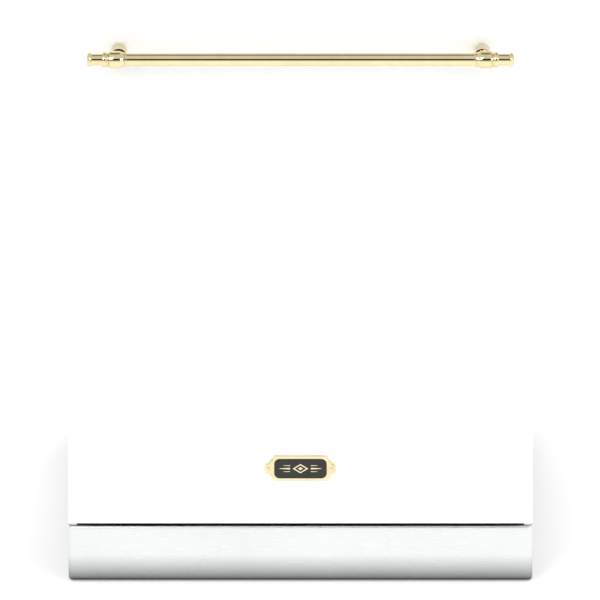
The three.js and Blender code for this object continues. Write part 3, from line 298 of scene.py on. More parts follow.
def add_turned(bm, profile, axis, at, count=48):
    """A turned body from (radius, station) pairs, with its stations along the axis from `at`."""
    turn = AXES[axis]
    rings = []
    for radius, station in profile:
        if radius < ON_AXIS:
            rings.append([bm.verts.new(Vector(at) + turn @ Vector((0, 0, station)))])
            continue
        rings.append([
            bm.verts.new(Vector(at) + turn @ Vector((
                radius * math.cos(2 * math.pi * i / count),
                radius * math.sin(2 * math.pi * i / count),
                station,
            )))
            for i in range(count)
        ])
    for lower, upper in zip(rings, rings[1:]):
        for i in range(count):
            j = (i + 1) % count
            corners = [lower[i % len(lower)], lower[j % len(lower)],
                       upper[j % len(upper)], upper[i % len(upper)]]
            unique = list(dict.fromkeys(corners))
            if len(unique) > 2:
                bm.faces.new(unique)


def rounded(points, radius, steps=5):
    """A path whose inner corners are replaced by short arcs."""
    path = [Vector(points[0])]
    for before, corner, after in zip(points, points[1:], points[2:]):
        before, corner, after = Vector(before), Vector(corner), Vector(after)
        start = corner + (before - corner).normalized() * radius
        end = corner + (after - corner).normalized() * radius
        for i in range(steps + 1):
            t = i / steps
            path.append(start * (1 - t) ** 2 + corner * 2 * t * (1 - t) + end * t ** 2)
    path.append(Vector(points[-1]))
    return path


def wires(name, paths, radius, body, slot, replaces=(), sides=3, cyclic=False):
    """Round wires, one spline each."""
    curve = bpy.data.curves.new(name, "CURVE")
    curve.dimensions = "3D"
    curve.bevel_depth = radius
    curve.bevel_resolution = sides
    curve.use_fill_caps = True
    for path in paths:
        spline = curve.splines.new("POLY")
        spline.points.add(len(path) - 1)
        for point, place in zip(spline.points, path):
            point.co = (*place, 1)
        spline.use_cyclic_u = cyclic
    curve.materials.append(MATERIALS[slot])
    obj = link(bpy.data.objects.new(name, curve))
    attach(obj, body)
    if replaces:
        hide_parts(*replaces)
    return obj


def centre(node):
    low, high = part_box(node)
    return (Vector(low) + Vector(high)) / 2


def stations(first, last, count):
    return [first + (last - first) * i / (count - 1) for i in range(count)]


# ---- Carried-over nodes ----
NODE_BEVEL = 0.35 * MM
NODE_BEVEL_ANGLE = math.radians(50)


def dress_nodes():
    """Every CAD node takes its slot's material; sharp sheet edges are rounded a little."""
    slots = {part["node"]: part["material_slot"] for part in frame["record"]["subparts"]}
    for name, obj in frame["nodes"].items():
        obj.data.materials.clear()
        obj.data.materials.append(MATERIALS[slots[name]])
        soften = obj.modifiers.new("edges", "BEVEL")
        soften.width = NODE_BEVEL
        soften.segments = 2
        soften.limit_method = "ANGLE"
        soften.angle_limit = NODE_BEVEL_ANGLE
        soften.use_clamp_overlap = True


dress_nodes()


# ---- Door outside ----
def make_door_panel():
    """A folded skin: hollow, with a hem round its open back."""
    low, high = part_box("door_panel")
    bm = bmesh.new()
    sheet = 1.0 * MM
    hem = 25 * MM
    through = 10 * MM
    edge = 0.7 * MM
    add_block(bm, low, high, edge, 3)
    mesh = mesh_from(bm, "door_skin")
    door = add_piece("door_skin", mesh, "door", "white_enamel", replaces=["door_panel"])
    cutter = bmesh.new()
    add_block(cutter, (low[0] + sheet, low[1] + sheet, low[2] + sheet),
              (high[0] - sheet, high[1] - sheet, high[2] - sheet))
    add_block(cutter, (low[0] + hem, low[1] + through, low[2] + hem),
              (high[0] - hem, high[1] + sheet, high[2] - hem))
    carve(door, cutter)


def carve(obj, cutter):
    """Cuts one shape out of a piece and applies the cut."""
    tool = link(bpy.data.objects.new("cutter", mesh_from(cutter, "cutter")))
    cut = obj.modifiers.new("cut", "BOOLEAN")
    cut.operation = "DIFFERENCE"
    cut.object = tool
    cut.solver = "EXACT"
    cut.use_self = True
    bpy.context.view_layer.update()
    shaped = bpy.data.meshes.new_from_object(obj.evaluated_get(bpy.context.evaluated_depsgraph_get()))
    obj.modifiers.clear()
    obj.data = shaped
    for face in shaped.polygons:
        face.use_smooth = True
    shaped.set_sharp_from_angle(angle=math.radians(SHARP_ANGLE))
    bpy.data.objects.remove(tool)


BAR_RADIUS = 8.5 * MM
ROD_END_RADIUS = 7.95 * MM
ROD_CHAMFER = 0.35 * MM
ROD_STEP = 0.5 * MM
BARREL_RADIUS = 11.4 * MM
POST_RADIUS = 9.4 * MM
POST_FROM_END = 34.9 * MM
BARREL_REACH = 20.5 * MM


def mm_profile(pairs, side=1):
    scaled = [(radius * MM, side * station * MM) for radius, station in pairs]
    return scaled if side > 0 else scaled[::-1]


def make_handle():
    low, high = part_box("handle_bar")
    axis = Vector((0, (low[1] + high[1]) / 2, (low[2] + high[2]) / 2))
    end = high[0]
    post_x = end - POST_FROM_END
    turn_x = post_x + BARREL_REACH
    bm = bmesh.new()
    half = [(0, -end), (ROD_END_RADIUS - ROD_CHAMFER, -end), (ROD_END_RADIUS, -end + ROD_CHAMFER),
            (ROD_END_RADIUS, -turn_x), (BAR_RADIUS, -turn_x + ROD_STEP)]
    add_turned(bm, half + [(radius, -station) for radius, station in reversed(half)], "x", axis, 64)
    add_piece("handle_rod", mesh_from(bm, "handle_rod"), "door", "brass", replaces=["handle_bar"], smooth=30)
    for word, side in (("left", -1), ("right", 1)):
        make_mount(word, side, Vector((side * post_x, axis.y, axis.z)))
        bm = bmesh.new()
        cap = [(0, -6.5), (3.9, -6.5), (3.9, 0.3), (9.0, 0.3), (9.4, 0.7), (9.45, 1.6), (9.2, 2.7),
               (8.3, 4.0), (6.6, 5.0), (4.4, 5.6), (2.2, 5.9), (0, 6.0)]
        add_turned(bm, mm_profile(cap, side), "x", (side * end, axis.y, axis.z), 64)
        add_piece(word + "_handle_cap", mesh_from(bm, "cap"), "door", "brass",
                  replaces=[word + "_end_cap"], smooth=50)


def make_mount(word, side, at):
    """Barrel with its collar, cove and ring, open along the bar, on a post with a soft saddle."""
    outside = [(8.75, -10), (9.6, -10), (9.95, -9.6), (9.95, -8.8), (9.6, -8.3), (9.3, -8.0), (9.3, -7.4),
               (10.2, -4.8), (11.0, -2.6), (11.4, -1.4), (11.4, 10.6), (11.1, 11.6), (10.4, 12.2),
               (9.6, 12.6), (9.3, 13.2), (9.2, 14.2), (9.3, 15.2), (9.6, 15.8), (10.0, 16.1),
               (10.2, 16.5), (10.2, 19.5), (9.9, 20.1), (8.75, 20.3)]
    bm = bmesh.new()
    add_turned(bm, mm_profile(outside + [outside[0]], side), "x", at, 64)
    add_piece(word + "_handle_barrel", mesh_from(bm, "barrel"), "door", "brass",
              replaces=[word + "_handle_mount"], smooth=32)
    reach = DOOR_FACE - at.y
    post = [(0, BARREL_RADIUS * 0.86), (8.9 * MM, BARREL_RADIUS * 0.86), (11.2 * MM, BARREL_RADIUS * 0.8),
            (10.9 * MM, BARREL_RADIUS * 0.95), (10.2 * MM, BARREL_RADIUS * 1.08),
            (9.6 * MM, BARREL_RADIUS * 1.22),
            (POST_RADIUS, BARREL_RADIUS * 1.4), (POST_RADIUS, reach - 1.2 * MM), (9.1 * MM, reach - 0.5 * MM),
            (0, reach - 0.4 * MM)]
    bm = bmesh.new()
    add_turned(bm, post, "y", at, 56)
    add_piece(word + "_handle_post", mesh_from(bm, "post"), "door", "brass", smooth=50)


BADGE_STANDOFF = 0.3 * MM
BADGE_THICK = 1.6 * MM


def badge_outline():
    """Half widths and rises of the plate, stepping in to its ears."""
    quarter = [(45.5, 0), (45.5, 3.6), (44.9, 5.2), (43.2, 6.1), (41.2, 6.9), (39.4, 8.3), (38.5, 10.0),
               (37.9, 11.6), (36.4, 12.4), (35.3, 13.4), (34.6, 15.2), (34.3, 17.2)]
    top = quarter + [(-x, z) for x, z in reversed(quarter)]
    return top + [(x, -z) for x, z in reversed(top[1:-1])]


def plate_mesh(bm, outline, at, back, face, bevel):
    """A flat plate with a rounded front edge, from an (x, z) outline."""
    def ring(points, y):
        return [bm.verts.new((at[0] + x * MM, y, at[2] + z * MM)) for x, z in points]

    inner = [(x - math.copysign(bevel, x) if x else 0, z - math.copysign(bevel, z) if z else 0)
             for x, z in outline]
    rings = [ring(outline, back), ring(outline, face + bevel * MM), ring(inner, face)]
    bm.faces.new(rings[0])
    bm.faces.new(rings[2])
    for low, high in zip(rings, rings[1:]):
        for i in range(len(low)):
            j = (i + 1) % len(low)
            bm.faces.new([low[i], low[j], high[j], high[i]])


def corner_rectangle(half, rise, radius, steps=7):
    points = []
    for x, z, start in ((1, 1, 0), (-1, 1, 90), (-1, -1, 180), (1, -1, 270)):
        for i in range(steps + 1):
            angle = math.radians(start + 90 * i / steps)
            points.append((x * (half - radius) + radius * math.cos(angle),
                           z * (rise - radius) + radius * math.sin(angle)))
    return points


def make_badge():
    """A brass plate with a black field; a lozenge with bars and two rivets stand on it."""
    at = centre("badge_plate")
    back = DOOR_FACE - BADGE_STANDOFF
    face = back - BADGE_THICK
    bm = bmesh.new()
    plate_mesh(bm, badge_outline(), at, back, face, 0.4)
    plate = add_piece("badge_brass", mesh_from(bm, "badge_brass"), "door", "brass",
                      replaces=["badge_plate"], smooth=30)
    pocket = bmesh.new()
    plate_mesh(pocket, corner_rectangle(33.9, 13.5, 7.3), at, face + 0.8 * MM, face - 1 * MM, 0.0)
    carve(plate, pocket)
    bm = bmesh.new()
    plate_mesh(bm, corner_rectangle(33.7, 13.3, 7.1), at, face + 0.75 * MM, face + 0.12 * MM, 0.3)
    add_piece("badge_glass", mesh_from(bm, "badge_glass"), "door", "black_enamel",
              replaces=["badge_field"], smooth=30)
    bm = bmesh.new()
    lozenge = [(10, 0), (0, 6.4), (-10, 0), (0, -6.4)]
    hollow = [(7.4, 0), (0, 4.7), (-7.4, 0), (0, -4.7)]
    raised = face - 0.05 * MM
    ornament_frame(bm, lozenge, hollow, at, face + 0.4 * MM, raised)
    plate_mesh(bm, [(3.4, 0), (0, 2.2), (-3.4, 0), (0, -2.2)], at, face + 0.4 * MM, raised, 0.2)
    for side in (-1, 1):
        plate_mesh(bm, [(side * 27, -0.35), (side * 27, 0.35), (side * 13.5, 1.15), (side * 13.5, -1.15)],
                   at, face + 0.4 * MM, raised, 0.12)
        for rise in (-1, 1):
            plate_mesh(bm, [(side * 22, rise * 4.2 - 0.2), (side * 22, rise * 4.2 + 0.2),
                            (side * 13.5, rise * 4.2 + 0.45), (side * 13.5, rise * 4.2 - 0.45)],
                       at, face + 0.4 * MM, raised, 0.08)
    rivet = [(2.6, 0.3), (2.6, -0.1), (2.3, -0.6), (1.7, -0.9), (0.9, -1.05), (0, -1.1)]
    for side in (-1, 1):
        add_turned(bm, mm_profile(rivet), "y", (at[0] + side * 40.9 * MM, face, at[2]), 32)
    add_piece("badge_ornament", mesh_from(bm, "badge_ornament"), "door", "brass", smooth=35)


def ornament_frame(bm, outer, inner, at, back, face):
    """A closed raised line between two outlines."""
    def ring(points, y):
        return [bm.verts.new((at[0] + x * MM, y, at[2] + z * MM)) for x, z in points]

    rings = [ring(outer, back), ring(outer, face), ring(inner, face), ring(inner, back)]
    for low, high in zip(rings, rings[1:] + rings[:1]):
        for i in range(len(low)):
            j = (i + 1) % len(low)
            bm.faces.new([low[i], low[j], high[j], high[i]])


def make_plinth():
    """One folded strip: a top lip, a flat face, and a lower part that rolls under, with rounded ends."""
    low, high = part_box("plinth")
    face, back = low[1], high[1]
    bottom, top = low[2], high[2]
    roll, depth, sheet = 35 * MM, 4.5 * MM, 1.5 * MM
    lip, bend = 6 * MM, 1.6 * MM
    bend_steps, roll_steps = 5, 14
    outer = [(face + lip, top), (face + bend, top)]
    for i in range(bend_steps):
        turn = math.radians(90 * (i + 1) / bend_steps)
        outer.append((face + bend * (1 - math.sin(turn)), top - bend * (1 - math.cos(turn))))
    for i in range(roll_steps + 1):
        turn = math.radians(90 * i / roll_steps)
        outer.append((face + depth * (1 - math.cos(turn)), bottom + roll * (1 - math.sin(turn))))
    outer.append((back, bottom))
    bm = bmesh.new()
    half = high[0] - sheet / 2
    corner = 4.5 * MM
    steps = 6
    columns = []
    for side in (-1, 1):
        turned = []
        for i in range(steps + 1):
            angle = math.radians(90 * i / steps)
            turned.append((side * (half - corner * (1 - math.sin(angle))), corner * (1 - math.cos(angle))))
        columns.append(turned)
    spans = [(x, pull) for x, pull in reversed(columns[0])] + [(x, pull) for x, pull in columns[1]]
    rows = []
    for x, pull in spans:
        past = min(corner, max(0.0, corner - half + abs(x)))
        limit = bottom + corner - math.sqrt(corner ** 2 - past ** 2)
        rows.append([bm.verts.new((x, min(back, y + pull), max(z, limit))) for y, z in outer])
    for left, right in zip(rows, rows[1:]):
        for i in range(len(outer) - 1):
            bm.faces.new([left[i], right[i], right[i + 1], left[i + 1]])
    mesh = mesh_from(bm, "plinth_strip")
    steel = surface("plinth_steel_painted_shade", (0.80, 0.815, 0.82), 0.30, 1.0, vary=0.05, grain=1600, stretch=ALONG_X,
                    bump=0.012, tint=0.03, wear=0.2)
    # painted shade on the rolled lower part and a painted contact shadow along its bottom edge
    paint_shade_low(steel, bottom, bottom + 36 * MM, (
        (0, 0.02), (0.03, 0.03), (0.06, 0.20), (0.17, 0.34), (0.36, 0.52), (0.55, 0.67), (0.74, 0.80),
        (0.89, 0.90), (1, 0.96)))
    strip = add_piece("plinth_strip", mesh, "cabinet", "satin_steel", steel, replaces=["plinth"], smooth=60)
    thick = strip.modifiers.new("sheet", "SOLIDIFY")
    thick.thickness = sheet
    thick.offset = 0


# ---- Door inside ----
def make_controls():
    """A dark display window, and for each button a raised cap and a green lamp."""
    low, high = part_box("control_panel")
    top = high[2]
    y = centre("button_power").y
    bm = bmesh.new()
    window_x, half, rise = -89.7 * MM, 43.5 * MM, 7.5 * MM
    add_block(bm, (window_x - half, y - rise, top - 0.55 * MM), (window_x + half, y + rise, top - 0.05 * MM),
              0.15 * MM)
    add_piece("display_window", mesh_from(bm, "display"), "door", "black_plastic", GLASS_DARK)
    for name in ("power", "program", "delay", "start"):
        node = "button_" + name
        low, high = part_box(node)
        middle = (Vector(low) + Vector(high)) / 2
        bm = bmesh.new()
        add_block(bm, (low[0] + 2.5 * MM, low[1] + 2.5 * MM, high[2] - 5.4 * MM),
                  (high[0] - 2.5 * MM, high[1] - 2.5 * MM, high[2]), 0.9 * MM, 3)
        add_block(bm, (low[0], low[1], low[2]), (high[0], high[1], low[2] + 2 * MM), 0.3 * MM)
        add_piece(node + "_cap", mesh_from(bm, node), node + "_body", "grey_plastic", replaces=[node])
        bm = bmesh.new()
        lens = [(0, -0.4), (1.3, -0.4), (1.3, 0.05), (0.7, 0.22), (0, 0.26)]
        add_turned(bm, mm_profile(lens), "z", (middle.x, middle.y - 8.8 * MM, top), 20)
        add_piece(node + "_lamp", mesh_from(bm, node + "_lamp"), "door", "grey_plastic", LAMP_GREEN)


def make_liner_ribs():
    """Pressed ribs across the field of the inner door and round screws along its border."""
    low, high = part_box("door_liner")
    field = high[1] - 6 * MM
    half, rise = 205 * MM, 4 * MM
    bm = bmesh.new()
    for z in stations(low[2] + 62 * MM, low[2] + 190 * MM, 4):
        add_block(bm, (-half, field - 0.5 * MM, z - rise), (half, field + 1.6 * MM, z + rise), 1.5 * MM, 3)
    add_piece("liner_ribs", mesh_from(bm, "liner_ribs"), "door", "tub_steel", smooth=60)
    bm = bmesh.new()
    for x in (low[0] + 14 * MM, high[0] - 14 * MM):
        for z in stations(low[2] + 25 * MM, high[2] - 25 * MM, 5):
            screw(bm, "y", (x, high[1], z), 3.6, 1)
    add_piece("liner_screws", mesh_from(bm, "liner_screws"), "door", "tub_steel", SCREW_STEEL)


def screw(bm, axis, at, radius, out):
    """A pan-head screw with a round recess."""
    head = [(0, -0.3), (radius, -0.3), (radius, 0.25 * radius), (radius * 0.8, 0.42 * radius),
            (radius * 0.34, 0.5 * radius), (radius * 0.3, 0.18 * radius), (0, 0.18 * radius)]
    add_turned(bm, [(r * MM, out * s * MM) for r, s in head], axis, at, 20)


def make_dispenser():
    """A raised rim round the dispenser and grip bars on its lid."""
    low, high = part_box("dispenser")
    face = high[1] - 4 * MM
    wide = 5 * MM
    bm = bmesh.new()
    for x0, x1, z0, z1 in (
            (low[0], high[0], low[2], low[2] + wide), (low[0], high[0], high[2] - wide, high[2]),
            (low[0], low[0] + wide, low[2], high[2]), (high[0] - wide, high[0], low[2], high[2])):
        add_block(bm, (x0, face - 1 * MM, z0), (x1, face + 1.4 * MM, z1), 0.8 * MM, 3)
    add_piece("dispenser_rim", mesh_from(bm, "dispenser_rim"), "door", "pale_plastic")
    low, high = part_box("dispenser_lid")
    bm = bmesh.new()
    for i in range(5):
        z = low[2] + (10 + 4.5 * i) * MM
        add_block(bm, (low[0] + 12 * MM, high[1] - 2.7 * MM, z),
                  (high[0] - 12 * MM, high[1] - 1.4 * MM, z + 2 * MM), 0.4 * MM)
    add_piece("lid_grips", mesh_from(bm, "lid_grips"), "dispenser_lid_body", "grey_plastic")


# ---- Racks ----
CORNERS = ("front_left", "front_right", "rear_left", "rear_right")


def u_wire(x, y0, y1, floor, top, radius=9 * MM):
    return rounded([(x, y0, top), (x, y0, floor), (x, y1, floor), (x, y1, top)], radius)


def cross_wire(y, half, floor, top, radius=9 * MM):
    return rounded([(-half, y, top), (-half, y, floor), (half, y, floor), (half, y, top)], radius)


def rim(half, y0, y1, z, radius=16 * MM):
    corners = [(-half, y0, z), (half, y0, z), (half, y1, z), (-half, y1, z)]
    path = rounded([corners[3]] + corners + [corners[0]], radius)
    return path[1:-1]


def make_rack(name, node, body, half, y0, y1, floor, top, columns, rows):
    inset = 2.2 * MM
    rod = 1.7 * MM
    y0, y1, half = y0 + inset, y1 - inset, half - inset
    floor, top = floor + 2 * MM, top - 2.5 * MM
    paths = [u_wire(x, y0, y1, floor, top) for x in stations(-half + 22 * MM, half - 22 * MM, columns)]
    paths += [cross_wire(y, half, floor + 1.5 * rod, top) for y in stations(y0 + 22 * MM, y1 - 22 * MM, rows)]
    wires(name + "_wires", paths, rod, body, "coated_wire", replaces=[node])
    rims = [rim(half, y0, y1, top), rim(half, y0, y1, (floor + top) / 2 + 8 * MM)]
    wires(name + "_rims", rims, 2.2 * MM, body, "coated_wire", cyclic=True)


def make_lower_rack():
    low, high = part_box("lower_rack")
    half = high[0] - 7 * MM
    floor = low[2] + 41.7 * MM
    make_rack("lower_rack", "lower_rack", "lower_basket", half, low[1], high[1], floor, high[2], 14, 12)
    bm = bmesh.new()
    for word in CORNERS:
        wheel = centre("wheel_" + word)
        side = math.copysign(1, wheel.x)
        inner = abs(wheel.x) - 8 * MM
        add_block(bm, *ordered((side * (inner - 4 * MM), wheel.y - 9 * MM, wheel.z - 8 * MM),
                               (side * inner, wheel.y + 9 * MM, floor + 4 * MM)), 1.5 * MM, 3)
        add_block(bm, *ordered((side * (inner - 4 * MM), wheel.y - 9 * MM, floor + 1 * MM),
                               (side * (half - 1 * MM), wheel.y + 9 * MM, floor + 4.5 * MM)), 1 * MM, 2)
        axle = [(0, -10), (4, -10), (4, 7.8), (6.8, 7.8), (6.8, 9.2), (6.0, 10), (0, 10)]
        add_turned(bm, mm_profile(axle, side), "x", wheel, 24)
    tine = centre("plate_tines")
    tine_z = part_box("plate_tines")[0][2] + 2.5 * MM
    for x in (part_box("plate_tines")[0][0] + 5 * MM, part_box("plate_tines")[1][0] - 5 * MM):
        add_block(bm, (x - 2.8 * MM, tine.y - 4.8 * MM, floor),
                  (x + 2.8 * MM, tine.y + 4.8 * MM, tine_z - 3 * MM), 0.6 * MM)
        add_ring(bm, (x, tine.y, tine_z), 3.1 * MM, 5.4 * MM, 2.8 * MM)
    add_piece("rack_brackets", mesh_from(bm, "rack_brackets"), "lower_basket", "pale_plastic")
    y, upper, lower = low[1] + 4 * MM, high[2] - 3 * MM, high[2] - 22 * MM
    grip = rounded([(-70 * MM, y, upper), (-62 * MM, y, lower), (62 * MM, y, lower), (70 * MM, y, upper)],
                   8 * MM)
    wires("lower_rack_grip", [grip], 3.4 * MM, "lower_basket", "pale_plastic")


def ordered(a, b):
    return tuple(min(p, q) for p, q in zip(a, b)), tuple(max(p, q) for p, q in zip(a, b))


def add_ring(bm, at, inner, outer, half):
    profile = [(inner, -half), (outer, -half), (outer, half), (inner, half), (inner, -half)]
    add_turned(bm, profile, "x", at, 24)


def make_wheels():
    for word in CORNERS:
        node = "wheel_" + word
        at = centre(node)
        side = math.copysign(1, at.x)
        tread = [(4.6, -6.9), (6.6, -6.9), (7.2, -4.2), (13.2, -4.2), (14.4, -6.0), (17.8, -6.0),
                 (18.8, -5.0), (19.0, -3.6), (19.0, 3.6), (18.8, 5.0), (17.8, 6.0), (14.6, 6.0),
                 (13.6, 4.2), (7.2, 4.2), (6.6, 6.6), (4.6, 6.6), (4.6, -6.9)]
        bm = bmesh.new()
        add_turned(bm, mm_profile(tread, side), "x", at, 48)
        for i in range(6):
            angle = math.radians(60 * i)
            middle = Vector((at.x, at.y + 10.4 * MM * math.cos(angle), at.z + 10.4 * MM * math.sin(angle)))
            made = bmesh.ops.create_cube(bm, size=1)["verts"]
            bmesh.ops.scale(bm, vec=(11 * MM, 7.4 * MM, 1.8 * MM), verts=made)
            bmesh.ops.rotate(bm, cent=(0, 0, 0), matrix=Matrix.Rotation(angle, 3, "X"), verts=made)
            bmesh.ops.translate(bm, vec=middle, verts=made)
        add_piece(node + "_tread", mesh_from(bm, node), node + "_body", "pale_plastic", replaces=[node])


def make_tines():
    """Narrow hoops on one hinge wire."""
    low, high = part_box("plate_tines")
    y = (low[1] + high[1]) / 2
    z = low[2] + 2.5 * MM
    top, half = high[2] - 2 * MM, 4 * MM
    bar = [[Vector((low[0], y, z)), Vector((high[0], y, z))]]
    tines = []
    for x in stations(low[0] + 20 * MM, high[0] - 20 * MM, 12):
        tines.append(rounded([(x - half, y, z), (x - half, y, top), (x + half, y, top), (x + half, y, z)],
                             3.9 * MM, 6))
    wires("tine_wires", bar + tines, 1.7 * MM, "plate_tines_body", "coated_wire", replaces=["plate_tines"])


def make_upper_rack():
    """The wire basket, its side runners, the pipe that feeds the upper arm, and a grip."""
    low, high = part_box("upper_rack")
    half = high[0] - 18.6 * MM
    floor = low[2] + 50 * MM
    rear = high[1] - 5 * MM
    make_rack("upper_rack", "upper_rack", "upper_basket", half, low[1], rear, floor, high[2], 14, 12)
    rail_low, rail_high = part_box("right_upper_rail")
    bm = bmesh.new()
    for side in (-1, 1):
        add_block(bm, *ordered((side * (half - 3 * MM), low[1] + 1 * MM, rail_low[2] + 3.2 * MM),
                               (side * high[0], rear - 1 * MM, rail_high[2] - 3.2 * MM)), 1.2 * MM, 3)
    add_piece("rack_runners", mesh_from(bm, "rack_runners"), "upper_basket", "tub_steel")
    bm = bmesh.new()
    hub = centre("upper_spray_arm")
    at = (hub.x, hub.y, floor)
    add_turned(bm, mm_profile([(0, -50), (9.4, -50), (10, -49.2), (10, -46.6), (9.4, -46), (6, -46), (6, -22),
                               (12, -22), (14, -20), (14, -2), (10, 2), (0, 2)]), "z", at, 40)
    reach = high[1] / MM - hub.y / MM
    feed = [(0, -5), (8, -5), (8, reach - 3), (6.8, reach), (0, reach)]
    add_turned(bm, mm_profile(feed), "y", (hub.x, hub.y, floor - 5.4 * MM), 32)
    shelf_low, shelf_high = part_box("cup_shelf")
    shelf_x = shelf_high[0] - 2.5 * MM
    shelf_z = (shelf_low[2] + shelf_high[2]) / 2
    for y in (shelf_low[1] + 5 * MM, shelf_high[1] - 5 * MM):
        add_turned(bm, mm_profile([(3.1, -2.8), (6.2, -2.8), (6.2, 2.8), (3.1, 2.8), (3.1, -2.8)]), "y",
                   (shelf_x, y, shelf_z), 24)
        add_block(bm, (shelf_x + 4.5 * MM, y - 2.8 * MM, shelf_z - 5 * MM),
                  (half - 1 * MM, y + 2.8 * MM, shelf_z + 5 * MM), 0.6 * MM)
    add_piece("upper_feed", mesh_from(bm, "upper_feed"), "upper_basket", "pale_plastic", smooth=35)
    bm = bmesh.new()
    add_block(bm, (-95 * MM, low[1] + 0.6 * MM, high[2] - 30 * MM),
              (95 * MM, low[1] + 6 * MM, high[2] - 6 * MM), 2 * MM, 4)
    add_piece("upper_rack_grip", mesh_from(bm, "upper_rack_grip"), "upper_basket", "pale_plastic")


def make_cup_shelf():
    low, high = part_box("cup_shelf")
    axis_x = high[0] - 2.5 * MM
    z = (low[2] + high[2]) / 2
    y0, y1 = low[1] + 17 * MM, high[1] - 17 * MM
    paths = [[Vector((axis_x, low[1], z)), Vector((axis_x, high[1], z))]]
    for y in stations(y0, y1, 9):
        paths.append(rounded([(axis_x, y, z), (low[0] + 10 * MM, y, z), (low[0] + 2 * MM, y, z + 0.4 * MM)],
                             3 * MM))
    for x in stations(low[0] + 2 * MM, axis_x - 16 * MM, 4):
        paths.append([Vector((x, y0 - 2 * MM, z)), Vector((x, y1 + 2 * MM, z))])
    wires("shelf_wires", paths, 1.8 * MM, "cup_shelf_body", "coated_wire", replaces=["cup_shelf"])


def make_cutlery_basket():
    """Open lattice walls, dividers and a carrying handle."""
    low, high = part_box("cutlery_basket")
    top = low[2] + 116 * MM
    middle = (low[0] + high[0]) / 2
    bm = bmesh.new()
    bar = 2 * MM
    for x in (low[0], high[0] - bar):
        for y in stations(low[1], high[1] - bar, 17):
            add_block(bm, (x, y, low[2]), (x + bar, y + bar, top), 0.4 * MM, 1)
        for z in stations(low[2], top - bar, 7):
            add_block(bm, (x, low[1], z), (x + bar, high[1], z + bar), 0.4 * MM, 1)
    for y in stations(low[1], high[1] - bar, 5):
        for x in stations(low[0] + bar, high[0] - 2 * bar, 7):
            add_block(bm, (x, y, low[2]), (x + bar, y + bar, top), 0.4 * MM, 1)
        for z in stations(low[2], top - bar, 7):
            add_block(bm, (low[0], y, z), (high[0], y + bar, z + bar), 0.4 * MM, 1)
    for y in stations(low[1], high[1] - bar, 26):
        add_block(bm, (low[0], y, low[2]), (high[0], y + bar, low[2] + bar), 0.3 * MM, 1)
    add_block(bm, (middle - 1 * MM, low[1], low[2]), (middle + 1 * MM, high[1], top), 0.4 * MM, 1)
    for x0, x1 in ((low[0], low[0] + 3 * MM), (high[0] - 3 * MM, high[0])):
        add_block(bm, (x0, low[1], top - 5 * MM), (x1, high[1], top), 0.8 * MM, 2)
    add_piece("cutlery_cage", mesh_from(bm, "cutlery_cage"), "cutlery_basket_body", "grey_plastic",
              replaces=["cutlery_basket"])
    y = (low[1] + high[1]) / 2
    grip = rounded([(middle, y - 49 * MM, top - 8 * MM), (middle, y - 44 * MM, high[2] - 4.5 * MM),
                    (middle, y + 44 * MM, high[2] - 4.5 * MM), (middle, y + 49 * MM, top - 8 * MM)], 14 * MM)
    wires("cutlery_grip", [grip], 4 * MM, "cutlery_basket_body", "grey_plastic")


# ---- Water parts ----
def make_spray_arm(node, body):
    """A hollow-looking pressed blade: crowned across, tapering to round tips, with raised jets."""
    low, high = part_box(node)
    middle = centre(node)
    reach = high[0] - middle.x
    bm = bmesh.new()
    count, across = 40, 12
    rows = []
    for i in range(count + 1):
        along = -reach + 2 * reach * i / count
        part = abs(along) / reach
        half = (24 - 9 * part) * MM * math.sqrt(max(0.0, 1 - part ** 14)) + 0.02 * MM
        row = []
        for j in range(2 * across):
            angle = math.pi * j / across
            y = half * math.cos(angle)
            z = 4.2 * MM * math.copysign(abs(math.sin(angle)) ** 0.6, math.sin(angle))
            row.append(bm.verts.new((middle.x + along, middle.y + y, low[2] + 8.5 * MM + z)))
        rows.append(row)
    for left, right in zip(rows, rows[1:]):
        for j in range(2 * across):
            k = (j + 1) % (2 * across)
            bm.faces.new([left[j], left[k], right[k], right[j]])
    bm.faces.new(rows[0])
    bm.faces.new(rows[-1])
    inner = 10 if node == "lower_spray_arm" else 7
    hub = [(inner, 0), (20, 0), (22, 1.5), (22, 11), (20, 14), (16, 17.4), (14, 18), (inner, 18), (inner, 0)]
    add_turned(bm, mm_profile(hub), "z", (middle.x, middle.y, low[2]), 48)
    add_piece(node + "_blade", mesh_from(bm, node), body, "tub_steel", replaces=[node], smooth=45)
    bm = bmesh.new()
    for part in (-0.9, -0.74, -0.56, -0.38, -0.2, 0.28, 0.47, 0.65, 0.82, 0.93):
        jet = [(0, -0.6), (4.6, -0.6), (4.2, 0.6), (2.6, 1.2), (1.9, 1.1), (1.7, 0.2), (0, 0.2)]
        add_turned(bm, mm_profile(jet), "z",
                   (middle.x + part * reach, middle.y + 3 * MM * math.sin(9 * part), low[2] + 12.6 * MM), 20)
    add_piece(node + "_jets", mesh_from(bm, node + "_jets"), body, "grey_plastic")


def add_block_ring(bm, at, radius, count, size):
    """Small blocks spaced evenly on a level circle, each turned to face its centre."""
    for i in range(count):
        angle = math.radians(360 / count * i)
        made = bmesh.ops.create_cube(bm, size=1)["verts"]
        bmesh.ops.scale(bm, vec=size, verts=made)
        bmesh.ops.rotate(bm, cent=(0, 0, 0), matrix=Matrix.Rotation(angle, 3, "Z"), verts=made)
        place = (at[0] + radius * math.cos(angle), at[1] + radius * math.sin(angle), at[2])
        bmesh.ops.translate(bm, vec=place, verts=made)


def make_filter():
    """A ring of fine teeth round the grip, on the filter's flange."""
    at = centre("filter_cup")
    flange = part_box("tub_floor")[0][2] + 4 * MM
    bm = bmesh.new()
    add_block_ring(bm, (at.x, at.y, flange), 47.5 * MM, 36, (6 * MM, 2.2 * MM, 0.8 * MM))
    add_piece("filter_teeth", mesh_from(bm, "filter_teeth"), "filter_cup_body", "grey_plastic")


